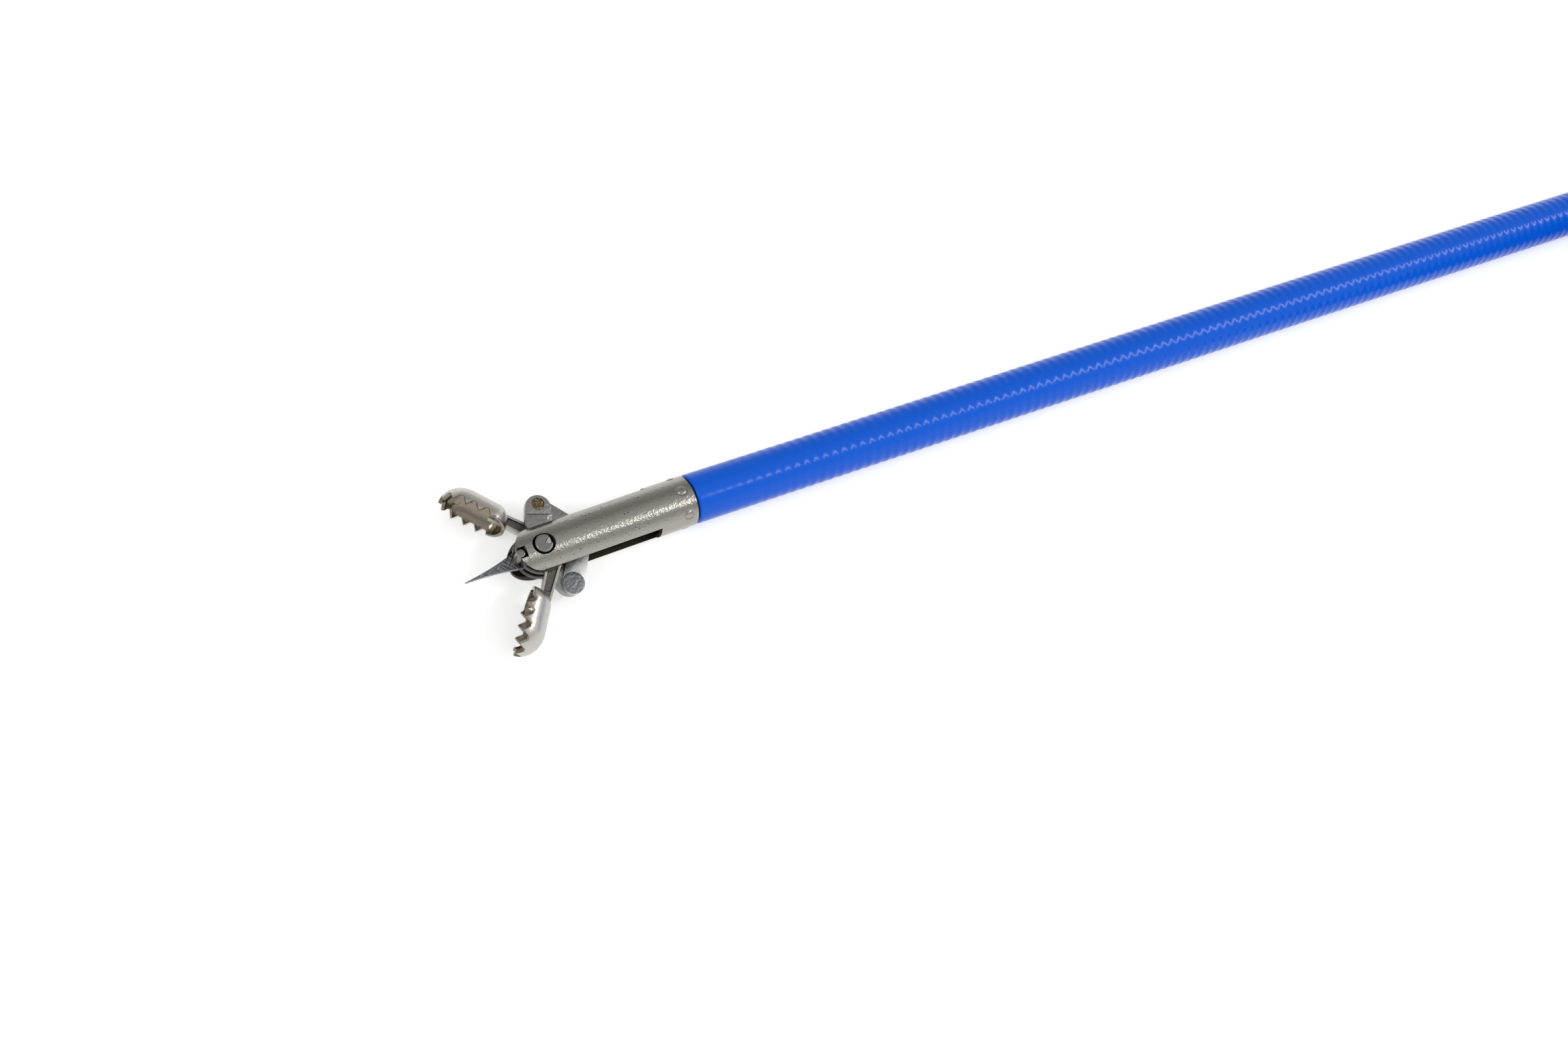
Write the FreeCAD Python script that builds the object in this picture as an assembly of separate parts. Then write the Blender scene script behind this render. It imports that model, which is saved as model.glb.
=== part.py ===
import FreeCAD, Part
import math
import os

from FreeCAD import Vector

# Flexible biopsy forceps: a pair of toothed cups on a slotted steel sleeve, a coated
# spring sheath, and a thumb-ring handle whose spool pulls the jaws shut.
# Millimetres. The origin is the centre of the jaw pivot, +X runs from the cups to the
# handle along the sleeve, +Z is the pivot pin, and the jaws open towards +Y and -Y.
# Everything is drawn with the jaws open, lying on a flat surface.

# Sleeve
sleeve_radius = 1.15
sleeve_wall = 0.2
sleeve_front = -1.2
sleeve_rear = 7.33
front_flat = 0.3
front_shoulder_x = -0.98
front_shoulder_y = 0.68
front_corner_x = -0.3
slot_half_width = 0.575
slot_rear = 5.49
weld_count = 6
weld_radius = 0.2
weld_height = 0.03
weld_inset = 0.47
weld_turn = 11.0

# Jaws
open_angle = 52.0
mechanism_lean = 3.0
hub_radius = 1.1
plate_inner = 0.145
plate_outer = 0.47
tail_pad_outer = 0.55
tail_arm = 2.03
tail_closed_angle = 15.8
tail_end_radius = 0.57
tail_end_inset = 0.16
cup_tip = -4.85
cup_rear = -1.72
cup_half_width = 1.16
cup_depth = 1.0
cup_rear_length = 0.75
cup_wall = 0.16
tooth_pitch = 0.6
tooth_height = 0.3
tooth_gap_flat = 0.16
tooth_clearance = 0.05
arm_inner = 0.38
arm_outer = 0.88
arm_slant = 0.16
arm_rim = 0.11
arm_pocket = 0.1

# Spike
spike_thickness = 0.25
spike_tip = -3.62
spike_base_x = -0.75
spike_base_half = 0.5
spike_waist_x = -2.0
spike_waist_half = 0.195
spike_hub_radius = 0.62
spike_lean = 4.0

# Pins, rivets and links
pivot_radius = 0.4
pivot_proud = 0.03
running_gap = 0.02
locating_pin_x = -1.125
locating_pin_radius = 0.2
link_length = 2.35
link_thickness = 0.12
link_radius = 0.5
link_rear_radius = 0.42
rivet_radius = 0.15
rivet_play = 0.25
rivet_head_radius = 0.5
rivet_head_height = 0.11
rivet_end_radius = 0.28
crosshead_pin_radius = 0.22

# Crosshead and pull wire
fork_half_width = 0.42
fork_half_height = 0.5
fork_slot_depth = 0.56
fork_length = 1.15
wire_radius = 0.25
wire_end = 4.8

# Sheath
sheath_radius = 1.15
collar_front = 5.7
collar_gap = 0.1
collar_bore = 0.8
coil_turns_across = 4
coil_layers = 4
turn_pitch = 2.35
coil_mean_radius = 17.3
coil_centre_x = 80.0
straight_end_y = -1.24

# Handle
handle_offset = 5.0
nose_beyond_coil_centre = 12.0
relief_length = 14.0
anchor_length = 10.0
relief_tip_radius = 1.9
relief_root_radius = 3.0
anchor_radius = 1.8
anchor_flange_radius = 3.3
anchor_flange_length = 2.0
relief_flange_length = 1.0
nut_length = 13.0
nut_lip = 3.6
nut_radius = 5.3
nut_flutes = 12
shaft_radius = 4.6
shaft_half_width = 4.0
shaft_length = 96.0
spigot_radius = 3.3
spigot_length = 10.0
shaft_slot_half = 1.6
shaft_slot_start = 12.0
shaft_slot_length = 58.0
drive_tube_radius = 0.8
drive_tube_bore = 0.35
spool_flange_radius = 12.0
spool_waist_radius = 7.2
spool_length = 28.0
spool_flange_length = 3.4
spool_rest_gap = 0.5
spool_clearance = 0.25
clamp_half_length = 3.0
clamp_half_width = 1.4
clamp_half_height = 6.2
screw_radius = 0.8
ring_outer_radius = 17.0
ring_bore_radius = 11.5
ring_thickness = 7.0
ring_boss_radius = 5.2
ring_boss_length = 9.0
ring_pin_radius = 0.8

X = Vector(1, 0, 0)
Y = Vector(0, 1, 0)
Z = Vector(0, 0, 1)
ORIGIN = Vector(0, 0, 0)

floor = -sleeve_radius
link_inner = running_gap / 2
link_outer = link_inner + link_thickness
tail_open_angle = tail_closed_angle + open_angle


def polar(radius, degrees, z=0.0):
    angle = math.radians(degrees)
    return Vector(radius * math.cos(angle), radius * math.sin(angle), z)


def rod(start, end, radius):
    along = end - start
    return Part.makeCylinder(radius, along.Length, start, along)


def block(x0, x1, y0, y1, z0, z1):
    return Part.makeBox(x1 - x0, y1 - y0, z1 - z0, Vector(x0, y0, z0))


def prism(points, z0, z1):
    corners = [Vector(x, y, z0) for x, y in points]
    face = Part.Face(Part.makePolygon(corners + corners[:1]))
    return face.extrude(Vector(0, 0, z1 - z0))


def turned(points):
    """A solid of revolution about X from (x, radius) corners."""
    corners = [Vector(x, radius, 0) for x, radius in points]
    face = Part.Face(Part.makePolygon(corners + corners[:1]))
    return face.revolve(ORIGIN, X, 360)


def turned_edges(edges):
    face = Part.Face(Part.Wire(edges))
    return face.revolve(ORIGIN, X, 360)


def bar(start, start_radius, end, end_radius, z0, z1):
    """A flat bar whose two round ends are joined by their tangents."""
    start = Vector(start.x, start.y, z0)
    end = Vector(end.x, end.y, z0)
    along = end - start
    heading = math.degrees(math.atan2(along.y, along.x))
    spread = math.degrees(math.acos((start_radius - end_radius) / along.Length))
    a1 = start + polar(start_radius, heading + spread)
    a2 = start + polar(start_radius, heading - spread)
    b1 = end + polar(end_radius, heading + spread)
    b2 = end + polar(end_radius, heading - spread)
    outline = Part.Wire([
        Part.LineSegment(a1, b1).toShape(),
        Part.Arc(b1, end + polar(end_radius, heading), b2).toShape(),
        Part.LineSegment(b2, a2).toShape(),
        Part.Arc(a2, start - polar(start_radius, heading), a1).toShape(),
    ])
    return Part.Face(outline).extrude(Vector(0, 0, z1 - z0))


def quarter_ellipse(centre_x, end_x, radius):
    """A quarter of an ellipse in XY, from its end on the axis to its widest point."""
    reach = end_x - centre_x
    mid = math.radians(45)
    if abs(abs(reach) - radius) < 1e-6:
        middle = Vector(centre_x + reach * math.cos(mid), radius * math.sin(mid), 0)
        return Part.Arc(Vector(end_x, 0, 0), middle, Vector(centre_x, radius, 0)).toShape()
    corner_1 = Vector(end_x, radius * 0.5523, 0)
    corner_2 = Vector(centre_x + reach * 0.5523, radius, 0)
    curve = Part.BezierCurve()
    curve.setPoles([Vector(end_x, 0, 0), corner_1, corner_2, Vector(centre_x, radius, 0)])
    return curve.toShape()


def flipped(shape):
    """The same shape turned half a turn about X, for the other jaw's side."""
    copy = shape.copy()
    copy.rotate(ORIGIN, X, 180)
    return copy


def swung(shape, degrees):
    copy = shape.copy()
    copy.rotate(ORIGIN, Z, degrees)
    return copy


def make_front_cutter():
    """What is cut off the sleeve's front: flat ahead of the pin, rounded back to the slots."""
    corner_y = math.sqrt(sleeve_radius ** 2 - slot_half_width ** 2)
    ahead = sleeve_front - 1
    beyond = sleeve_radius + 1
    edges = []
    for side in (1, -1):
        flat_end = Vector(sleeve_front, side * front_flat, -2)
        corner = Vector(front_corner_x, side * corner_y, -2)
        shoulder = Vector(front_shoulder_x, side * front_shoulder_y, -2)
        edges.append(Part.Arc(flat_end, shoulder, corner).toShape())
        edges.append(Part.LineSegment(corner, Vector(front_corner_x, side * beyond, -2)).toShape())
        edges.append(Part.LineSegment(Vector(front_corner_x, side * beyond, -2), Vector(ahead, side * beyond, -2)).toShape())
    edges.append(Part.LineSegment(Vector(sleeve_front, front_flat, -2), Vector(sleeve_front, -front_flat, -2)).toShape())
    edges.append(Part.LineSegment(Vector(ahead, beyond, -2), Vector(ahead, -beyond, -2)).toShape())
    return Part.Face(Part.Wire(Part.__sortEdges__(edges))).extrude(Z * 4)


def make_sleeve():
    tube = rod(Vector(sleeve_front, 0, 0), Vector(sleeve_rear, 0, 0), sleeve_radius)
    for angle in range(weld_count):
        turn = math.radians(weld_turn + angle * 360.0 / weld_count)
        outward = Vector(0, math.sin(turn), math.cos(turn))
        seat = Vector(sleeve_rear - weld_inset, 0, 0) + outward * sleeve_radius
        dome = (weld_radius ** 2 + weld_height ** 2) / (2 * weld_height)
        ball = Part.makeSphere(dome, seat + outward * (weld_height - dome))
        spot = rod(seat - outward * sleeve_wall / 2, seat + outward * weld_height, weld_radius)
        tube = tube.fuse(spot.common(ball))
    bore = rod(Vector(sleeve_front - 1, 0, 0), Vector(sleeve_rear + 1, 0, 0), sleeve_radius - sleeve_wall)
    slot = block(sleeve_front - 1, slot_rear, -2, 2, -slot_half_width, slot_half_width)
    tube = tube.cut(bore).cut(slot)
    tube = tube.cut(make_front_cutter())
    pin = swung_point(locating_pin_x)
    notch_gap = 0.05
    notch_half = locating_pin_radius + notch_gap
    notch = block(sleeve_front - 1, pin.x + notch_half + running_gap, pin.y - notch_half, pin.y + notch_half, 0, 2)
    tube = tube.cut(notch)
    hole = rod(Vector(0, 0, -2), Vector(0, 0, 2), pivot_radius + running_gap)
    countersink = Part.makeCone(pivot_radius + running_gap, pivot_radius + 0.14,
                                sleeve_wall * 1.6, Vector(0, 0, sleeve_radius - sleeve_wall * 1.4), Z)
    return tube.cut(hole).cut(countersink).cut(flipped(countersink))


def swung_point(x):
    """A point of the spike's centre line."""
    return polar(1.0, spike_lean) * x


def make_collar():
    inner = sleeve_radius - sleeve_wall - running_gap
    shoulder = sleeve_rear + collar_gap
    return turned([(collar_front, collar_bore), (collar_front, inner - 0.12), (collar_front + 0.12, inner),
                   (sleeve_rear, inner), (sleeve_rear, inner + 0.06), (shoulder, inner + 0.06),
                   (shoulder, 0), (shoulder - 0.15, 0), (shoulder - 0.15, collar_bore)])


def make_pivot_pin():
    reach = sleeve_radius + pivot_proud
    pin = rod(Vector(0, 0, -reach), Vector(0, 0, reach), pivot_radius)
    edges = [edge for edge in pin.Edges if isinstance(edge.Curve, Part.Circle)]
    pin = pin.makeChamfer(0.04, edges)
    nick = prism([(0.12, -0.04), (0.5, -0.14), (0.5, 0.12)], reach - 0.07, reach + 1)
    return pin.cut(swung(nick, 10))


def make_spike():
    half = spike_thickness / 2
    outline = []
    for side in (1, -1):
        outline.append(Part.Arc(Vector(spike_tip + 0.03, side * 0.02, -half),
                                Vector(spike_waist_x, side * spike_waist_half, -half),
                                Vector(spike_base_x, side * spike_base_half, -half)).toShape())
    point = Vector(spike_tip, 0, -half)
    nose = Part.Arc(Vector(spike_tip + 0.03, 0.02, -half), point, Vector(spike_tip + 0.03, -0.02, -half)).toShape()
    base = Part.LineSegment(Vector(spike_base_x, spike_base_half, -half),
                            Vector(spike_base_x, -spike_base_half, -half)).toShape()
    blade = Part.Face(Part.Wire(Part.__sortEdges__(outline + [nose, base]))).extrude(Z * spike_thickness)
    root = bar(Vector(spike_base_x, 0, 0), spike_base_half, ORIGIN, spike_hub_radius, -half, half)
    spike = blade.fuse(root).removeSplitter()
    for x, radius in ((0.0, pivot_radius + running_gap), (locating_pin_x, locating_pin_radius)):
        spike = spike.cut(rod(Vector(x, 0, -1), Vector(x, 0, 1), radius))
    return spike


def rim_point(travel):
    """Where the cup's rim is, and its outward heading, this far round from the tip."""
    wall_middle = cup_half_width - cup_wall / 2
    centre_x = cup_tip + cup_half_width
    quarter = wall_middle * math.pi / 2
    side = 1 if travel >= 0 else -1
    if abs(travel) <= quarter:
        angle = travel / wall_middle
        outward = Vector(-math.cos(angle), 0, math.sin(angle))
        return Vector(centre_x, 0, 0) + outward * wall_middle, outward
    return Vector(centre_x + abs(travel) - quarter, 0, side * wall_middle), Z * side


def make_cup():
    """The upper cup with its mouth down on the plane y = 0, before the jaw is swung open."""
    front_x = cup_tip + cup_half_width
    rear_x = cup_rear - cup_rear_length

    def bowl(inset):
        radius = cup_half_width - inset
        return turned_edges([
            quarter_ellipse(front_x, cup_tip + inset, radius),
            Part.LineSegment(Vector(front_x, radius, 0), Vector(rear_x, radius, 0)).toShape(),
            quarter_ellipse(rear_x, cup_rear - inset, radius),
            Part.LineSegment(Vector(cup_rear - inset, 0, 0), Vector(cup_tip + inset, 0, 0)).toShape(),
        ])

    flatten = FreeCAD.Matrix()
    flatten.scale(Vector(1, cup_depth / cup_half_width, 1))
    outer = bowl(0.0).transformGeometry(flatten)
    flatten = FreeCAD.Matrix()
    flatten.scale(Vector(1, (cup_depth - cup_wall) / (cup_half_width - cup_wall), 1))
    cavity = bowl(cup_wall).transformGeometry(flatten)
    half_tooth = tooth_height / 2
    below = block(-9, 9, -9, -half_tooth, -9, 9)
    behind = block(rear_x, 9, -9, tooth_clearance / 2, -9, 9)
    cup = outer.cut(below).cut(behind)
    return cup, cavity


def make_tooth_gaps():
    half_tooth = tooth_height / 2
    quarter = (cup_half_width - cup_wall / 2) * math.pi / 2
    straight = (cup_rear - cup_rear_length) - (cup_tip + cup_half_width)
    limit = quarter + straight
    gaps = []
    count = int(limit / tooth_pitch) + 1
    for step in range(-count, count + 1):
        travel = (step + 0.25) * tooth_pitch
        if abs(travel) > limit + tooth_pitch / 4:
            continue
        place, outward = rim_point(travel)
        along = outward.cross(Y)
        wide = tooth_pitch / 2 + tooth_clearance
        deep = half_tooth + tooth_clearance
        slope = (wide - tooth_gap_flat / 2) / (half_tooth + deep)
        low = -half_tooth - 0.1
        low_wide = wide + 0.1 * slope
        corners = [(-low_wide, low), (low_wide, low), (tooth_gap_flat / 2, deep), (-tooth_gap_flat / 2, deep)]
        inner = place - outward * cup_wall * 1.6
        points = [inner + along * a + Y * b for a, b in corners]
        face = Part.Face(Part.makePolygon(points + points[:1]))
        gaps.append(face.extrude(outward * cup_wall * 4))
    return gaps


def make_jaw(relief_for_pin):
    """The upper jaw closed: cup ahead and above, tail behind and below, plate on the -Z side."""
    cup, cavity = make_cup()
    hub = rod(Vector(0, 0, plate_inner), Vector(0, 0, plate_outer), hub_radius)
    arm_end = cup_rear - cup_rear_length - 0.15
    arm = prism([(0.0, arm_inner), (arm_end, arm_inner), (arm_end, arm_outer), (-0.2, arm_outer + arm_slant)],
                plate_inner, plate_outer)
    tail_end = polar(tail_arm, -tail_closed_angle)
    round_end = polar(tail_arm - tail_end_inset, -tail_closed_angle)
    tail = bar(ORIGIN, tail_end_radius + 0.12, round_end, tail_end_radius, plate_inner, plate_outer)
    pad = bar(round_end * 0.8, tail_end_radius, round_end, tail_end_radius, plate_outer - 0.02, tail_pad_outer)
    plate = hub.fuse([arm, tail, pad])
    pocket_front = cup_rear - 0.1
    for face in (plate_inner, plate_outer):
        plate = plate.cut(prism([(-0.25, arm_inner + arm_rim), (pocket_front, arm_inner + arm_rim),
                                 (pocket_front, arm_outer - arm_rim), (-0.45, arm_outer + arm_slant * 0.7 - arm_rim)],
                                face - arm_pocket, face + arm_pocket))
    if relief_for_pin:
        clear = locating_pin_radius + 0.04
        inside = -locating_pin_x - clear
        spread = math.degrees(math.asin(clear / -locating_pin_x)) + abs(spike_lean - mechanism_lean)
        swept = rod(Vector(0, 0, 0), Vector(0, 0, 1), hub_radius + 1).cut(rod(Vector(0, 0, -1), Vector(0, 0, 2), inside))
        start = polar(5, 180 - spread)
        middle = polar(5, 180 + open_angle / 2)
        end = polar(5, 180 + open_angle + spread)
        wedge = prism([(0, 0), (start.x, start.y), (middle.x * 1.6, middle.y * 1.6), (end.x, end.y)], -1, 2)
        plate = plate.cut(swept.common(wedge))
    plate = plate.mirror(ORIGIN, Z)
    jaw = cup.fuse(plate).cut(cavity)
    for gap in make_tooth_gaps():
        jaw = jaw.cut(gap)
    spike_half = spike_thickness / 2 + 0.03
    jaw = jaw.cut(block(arm_end - 0.3, cup_rear + 0.05, -1, 0.3, -spike_half, spike_half))
    jaw = jaw.cut(rod(Vector(0, 0, -2), Vector(0, 0, 2), pivot_radius + running_gap))
    seat = rod(tail_end - Z, tail_end + Z, rivet_radius)
    recess = rod(tail_end - Z * tail_pad_outer, tail_end - Z * (tail_pad_outer - 0.1), rivet_end_radius)
    return jaw.cut(seat).cut(recess).removeSplitter()


def make_rivet():
    """The rivet of the upper jaw's tail, closed: head over the link, end spread in the tail."""
    centre = polar(tail_arm, -tail_closed_angle)
    head_top = rivet_head_height
    shank = rod(centre - Z * (tail_pad_outer - 0.02), centre, rivet_radius)
    head = rod(centre, centre + Z * head_top, rivet_head_radius)
    end = rod(centre - Z * (tail_pad_outer - 0.02), centre - Z * (tail_pad_outer - 0.1), rivet_end_radius)
    return shank.fuse([head, end]).removeSplitter()


def crosshead_x(tail_angle):
    drop = tail_arm * math.sin(math.radians(tail_angle))
    return tail_arm * math.cos(math.radians(tail_angle)) + math.sqrt(link_length ** 2 - drop ** 2)


def make_link():
    """The upper jaw's link with the jaws open: from the low tail rivet up to the crosshead pin."""
    tail = polar(tail_arm, -tail_open_angle)
    rear = Vector(crosshead_x(tail_open_angle), 0, 0)
    plate = bar(tail, link_radius, rear, link_rear_radius, -link_outer, -link_inner)
    plate = plate.cut(rod(tail - Z, tail + Z, rivet_radius + rivet_play))
    return plate.cut(rod(rear - Z, rear + Z, crosshead_pin_radius + running_gap))


def make_crosshead():
    pin_x = crosshead_x(tail_open_angle)
    front = pin_x - fork_half_width
    body = rod(Vector(front - 0.2, 0, 0), Vector(pin_x + fork_length, 0, 0), fork_half_height + 0.12)
    body = body.common(block(front - 1, pin_x + fork_length, -fork_half_width, fork_half_width,
                             -fork_half_height, fork_half_height))
    nose = bar(Vector(pin_x, 0, 0), fork_half_width, Vector(pin_x + fork_length + 1, 0, 0), fork_half_width, -1, 1)
    body = body.common(nose)
    body = body.cut(block(front - 1, pin_x + fork_slot_depth, -1, 1, -link_outer - running_gap,
                          link_outer + running_gap))
    body = body.cut(rod(Vector(pin_x, 0, -1), Vector(pin_x, 0, 1), crosshead_pin_radius))
    return body.cut(rod(Vector(pin_x + fork_slot_depth + 0.15, 0, 0), Vector(pin_x + fork_length + 1, 0, 0), wire_radius))


def make_crosshead_pin():
    x = crosshead_x(tail_open_angle)
    return rod(Vector(x, 0, -fork_half_height), Vector(x, 0, fork_half_height), crosshead_pin_radius)


def make_pull_wire():
    start = crosshead_x(tail_open_angle) + fork_slot_depth + 0.15
    return rod(Vector(start, 0, 0), Vector(wire_end, 0, 0), wire_radius)


def make_locating_pin():
    pin = rod(Vector(locating_pin_x, 0, -spike_thickness / 2), Vector(locating_pin_x, 0, sleeve_radius - 0.06),
              locating_pin_radius)
    top = [edge for edge in pin.Edges if isinstance(edge.Curve, Part.Circle) and edge.CenterOfMass.z > 0.5]
    return pin.makeChamfer(0.05, top)


def tube_on_route(points, radius):
    """A round tube whose straight runs are joined by arcs as large as the runs allow."""
    edges = []
    place = points[0]
    for before, corner, after in zip(points, points[1:], points[2:]):
        run_in = corner - before
        run_out = after - corner
        shorter = min(run_in.Length, run_out.Length)
        into = run_in.normalize()
        out = run_out.normalize()
        half_turn = into.getAngle(out) / 2
        setback = 0.45 * shorter
        bend = setback / math.tan(half_turn)
        start = corner - into * setback
        end = corner + out * setback
        inward = (out - into).normalize()
        middle = corner + inward * (bend / math.cos(half_turn) - bend)
        edges.append(Part.LineSegment(place, start).toShape())
        edges.append(Part.Arc(start, middle, end).toShape())
        print("bend radius", round(bend, 1))
        place = end
    edges.append(Part.LineSegment(place, points[-1]).toShape())
    path = Part.Wire(edges)
    heading = points[1] - points[0]
    section = Part.Wire(Part.makeCircle(radius, points[0], heading))
    tube = path.makePipeShell([section], True, True)
    wanted = math.pi * radius ** 2 * path.Length
    print("tube length", round(path.Length, 1), "volume over section times length", round(tube.Volume / wanted, 4))
    return tube


outer_turn = coil_mean_radius + turn_pitch * (coil_turns_across - 1) / 2
inner_turn = coil_mean_radius - turn_pitch * (coil_turns_across - 1) / 2
coil_centre = Vector(coil_centre_x, straight_end_y - outer_turn, 0)
top_layer = turn_pitch * (coil_layers - 1)
sheath_start = sleeve_rear + collar_gap + running_gap

# The handle lies on its rear spool flange and on the far edge of the thumb ring.
nose = Vector(coil_centre_x + nose_beyond_coil_centre, coil_centre.y + handle_offset, 0)
shaft_front = relief_length
nut_start = relief_length - nut_lip
nut_end = nut_start + nut_length
relief_flange_front = relief_length - anchor_flange_length - relief_flange_length
anchor_front = relief_length - anchor_length
spool_front = nut_end + spool_rest_gap
spool_rear = spool_front + spool_length
shaft_rear = shaft_front + shaft_length
ring_centre = shaft_rear - spigot_length + ring_boss_length + (ring_outer_radius + ring_bore_radius) / 2 - 3.0
handle_end = ring_centre + ring_outer_radius
tilt = math.degrees(math.atan2(spool_flange_radius - ring_thickness / 2, handle_end - spool_rear))


def on_handle(u, v=0.0, w=0.0):
    """A point of the handle's own axes in the shared frame."""
    angle = math.radians(tilt)
    nose_z = floor + spool_flange_radius * math.cos(angle) + spool_rear * math.sin(angle)
    return Vector(nose.x + u * math.cos(angle) + w * math.sin(angle), nose.y + v,
                  nose_z - u * math.sin(angle) + w * math.cos(angle))


def place_on_handle(shape):
    copy = shape.copy()
    copy.rotate(ORIGIN, Y, tilt)
    copy.translate(on_handle(0.0))
    return copy


def make_coil():
    half_wire = sheath_radius + 0.05
    inner = inner_turn - half_wire
    outer = outer_turn + half_wire
    low = floor
    high = top_layer + half_wire
    corner = sheath_radius
    profile = Part.Wire([
        Part.LineSegment(Vector(inner, 0, low + corner), Vector(inner, 0, high - corner)).toShape(),
        Part.LineSegment(Vector(inner, 0, high - corner), Vector(inner + corner, 0, high)).toShape(),
        Part.LineSegment(Vector(inner + corner, 0, high), Vector(outer - corner, 0, high)).toShape(),
        Part.LineSegment(Vector(outer - corner, 0, high), Vector(outer, 0, high - corner)).toShape(),
        Part.LineSegment(Vector(outer, 0, high - corner), Vector(outer, 0, low + corner)).toShape(),
        Part.LineSegment(Vector(outer, 0, low + corner), Vector(outer - corner, 0, low)).toShape(),
        Part.LineSegment(Vector(outer - corner, 0, low), Vector(inner + corner, 0, low)).toShape(),
        Part.LineSegment(Vector(inner + corner, 0, low), Vector(inner, 0, low + corner)).toShape(),
    ])
    ring = Part.Face(profile).revolve(ORIGIN, Z, 360)
    ring.translate(coil_centre)
    return ring


def make_straight(coil):
    end = Vector(coil_centre_x, straight_end_y, 0)
    start = Vector(sheath_start, 0, 0)
    return rod(start, end, sheath_radius).cut(coil)


def tail_route():
    """From the coil's last turn, round half a circle above it, and into the strain relief."""
    turn_radius = (outer_turn + handle_offset) / 2
    corner = turn_radius / math.cos(math.radians(22.5))
    middle = coil_centre + Vector(0, -outer_turn + turn_radius, 0)
    heights = (9.7, 11.2, 13.2, 15.2)
    angles = (247.5, 202.5, 157.5, 112.5)
    points = [coil_centre + Vector(7.0, -outer_turn, 7.9)]
    for angle, height in zip(angles, heights):
        points.append(middle + polar(corner, angle, height))
    points.append(on_handle(-8.0))
    points.append(on_handle(0.0))
    return points


def make_tail(coil):
    return tube_on_route(tail_route(), sheath_radius).cut(coil)


def make_strain_relief():
    flange_rear = relief_flange_front + relief_flange_length
    flange_radius = relief_root_radius + 0.35
    body = turned([(0, 0), (0, relief_tip_radius - 0.3), (0.3, relief_tip_radius),
                   (relief_flange_front, relief_root_radius), (relief_flange_front, flange_radius),
                   (flange_rear, flange_radius), (flange_rear, 0)])
    step = 1.5
    slope = (relief_root_radius - relief_tip_radius) / relief_flange_front
    for ring in range(5):
        x = 1.6 + ring * step
        radius = relief_tip_radius + slope * x
        body = body.cut(turned([(x, radius - 0.35), (x + 0.6, radius - 0.35), (x + 0.6, radius + 1), (x, radius + 1)]))
    return body.cut(rod(Vector(anchor_front, 0, 0), Vector(relief_length, 0, 0), anchor_radius))


def make_anchor():
    flange_front = relief_length - anchor_flange_length
    bore = drive_tube_radius + 0.15
    return turned([(anchor_front, bore), (anchor_front, anchor_radius), (flange_front, anchor_radius),
                   (flange_front, anchor_flange_radius), (relief_length, anchor_flange_radius), (relief_length, bore)])


def make_nose_nut():
    start = nut_start
    end = nut_end
    lip = relief_root_radius + 0.15
    cavity = anchor_flange_radius + 0.15
    nut = turned([(start, lip), (start, nut_radius - 1.3), (start + 1.0, nut_radius - 0.5), (end - 3, nut_radius),
                  (end, nut_radius), (end, cavity), (relief_flange_front - running_gap, cavity),
                  (relief_flange_front - running_gap, lip)])
    for flute in range(nut_flutes):
        angle = math.radians(flute * 360.0 / nut_flutes)
        outward = Vector(0, math.cos(angle), math.sin(angle))
        centre = outward * (nut_radius + 0.45)
        nut = nut.cut(rod(Vector(start + 3.0, 0, 0) + centre, Vector(end - 2.0, 0, 0) + centre, 0.9))
    return nut


def make_shaft():
    shoulder = shaft_front + spigot_length
    rear_shoulder = shaft_rear - spigot_length
    shaft = rod(Vector(shaft_front, 0, 0), Vector(shaft_rear, 0, 0), spigot_radius)
    body = rod(Vector(shoulder, 0, 0), Vector(rear_shoulder, 0, 0), shaft_radius)
    ends = [edge for edge in body.Edges if isinstance(edge.Curve, Part.Circle)]
    body = body.makeChamfer(0.6, ends)
    flats = block(shaft_front - 1, shaft_rear + 1, -shaft_half_width, shaft_half_width, -9, 9)
    shaft = shaft.fuse(body.common(flats))
    slot_front = shaft_front + shaft_slot_start
    slot = bar(Vector(slot_front, 0, 0), shaft_slot_half, Vector(slot_front + shaft_slot_length, 0, 0),
               shaft_slot_half, -9, 9)
    shaft = shaft.cut(slot)
    shaft = shaft.cut(rod(Vector(shaft_front - 1, 0, 0), Vector(slot_front, 0, 0), drive_tube_radius + 0.15))
    pin_x = shaft_rear - spigot_length / 2
    return shaft.cut(rod(Vector(pin_x, 0, -9), Vector(pin_x, 0, 9), ring_pin_radius)).removeSplitter()


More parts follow.
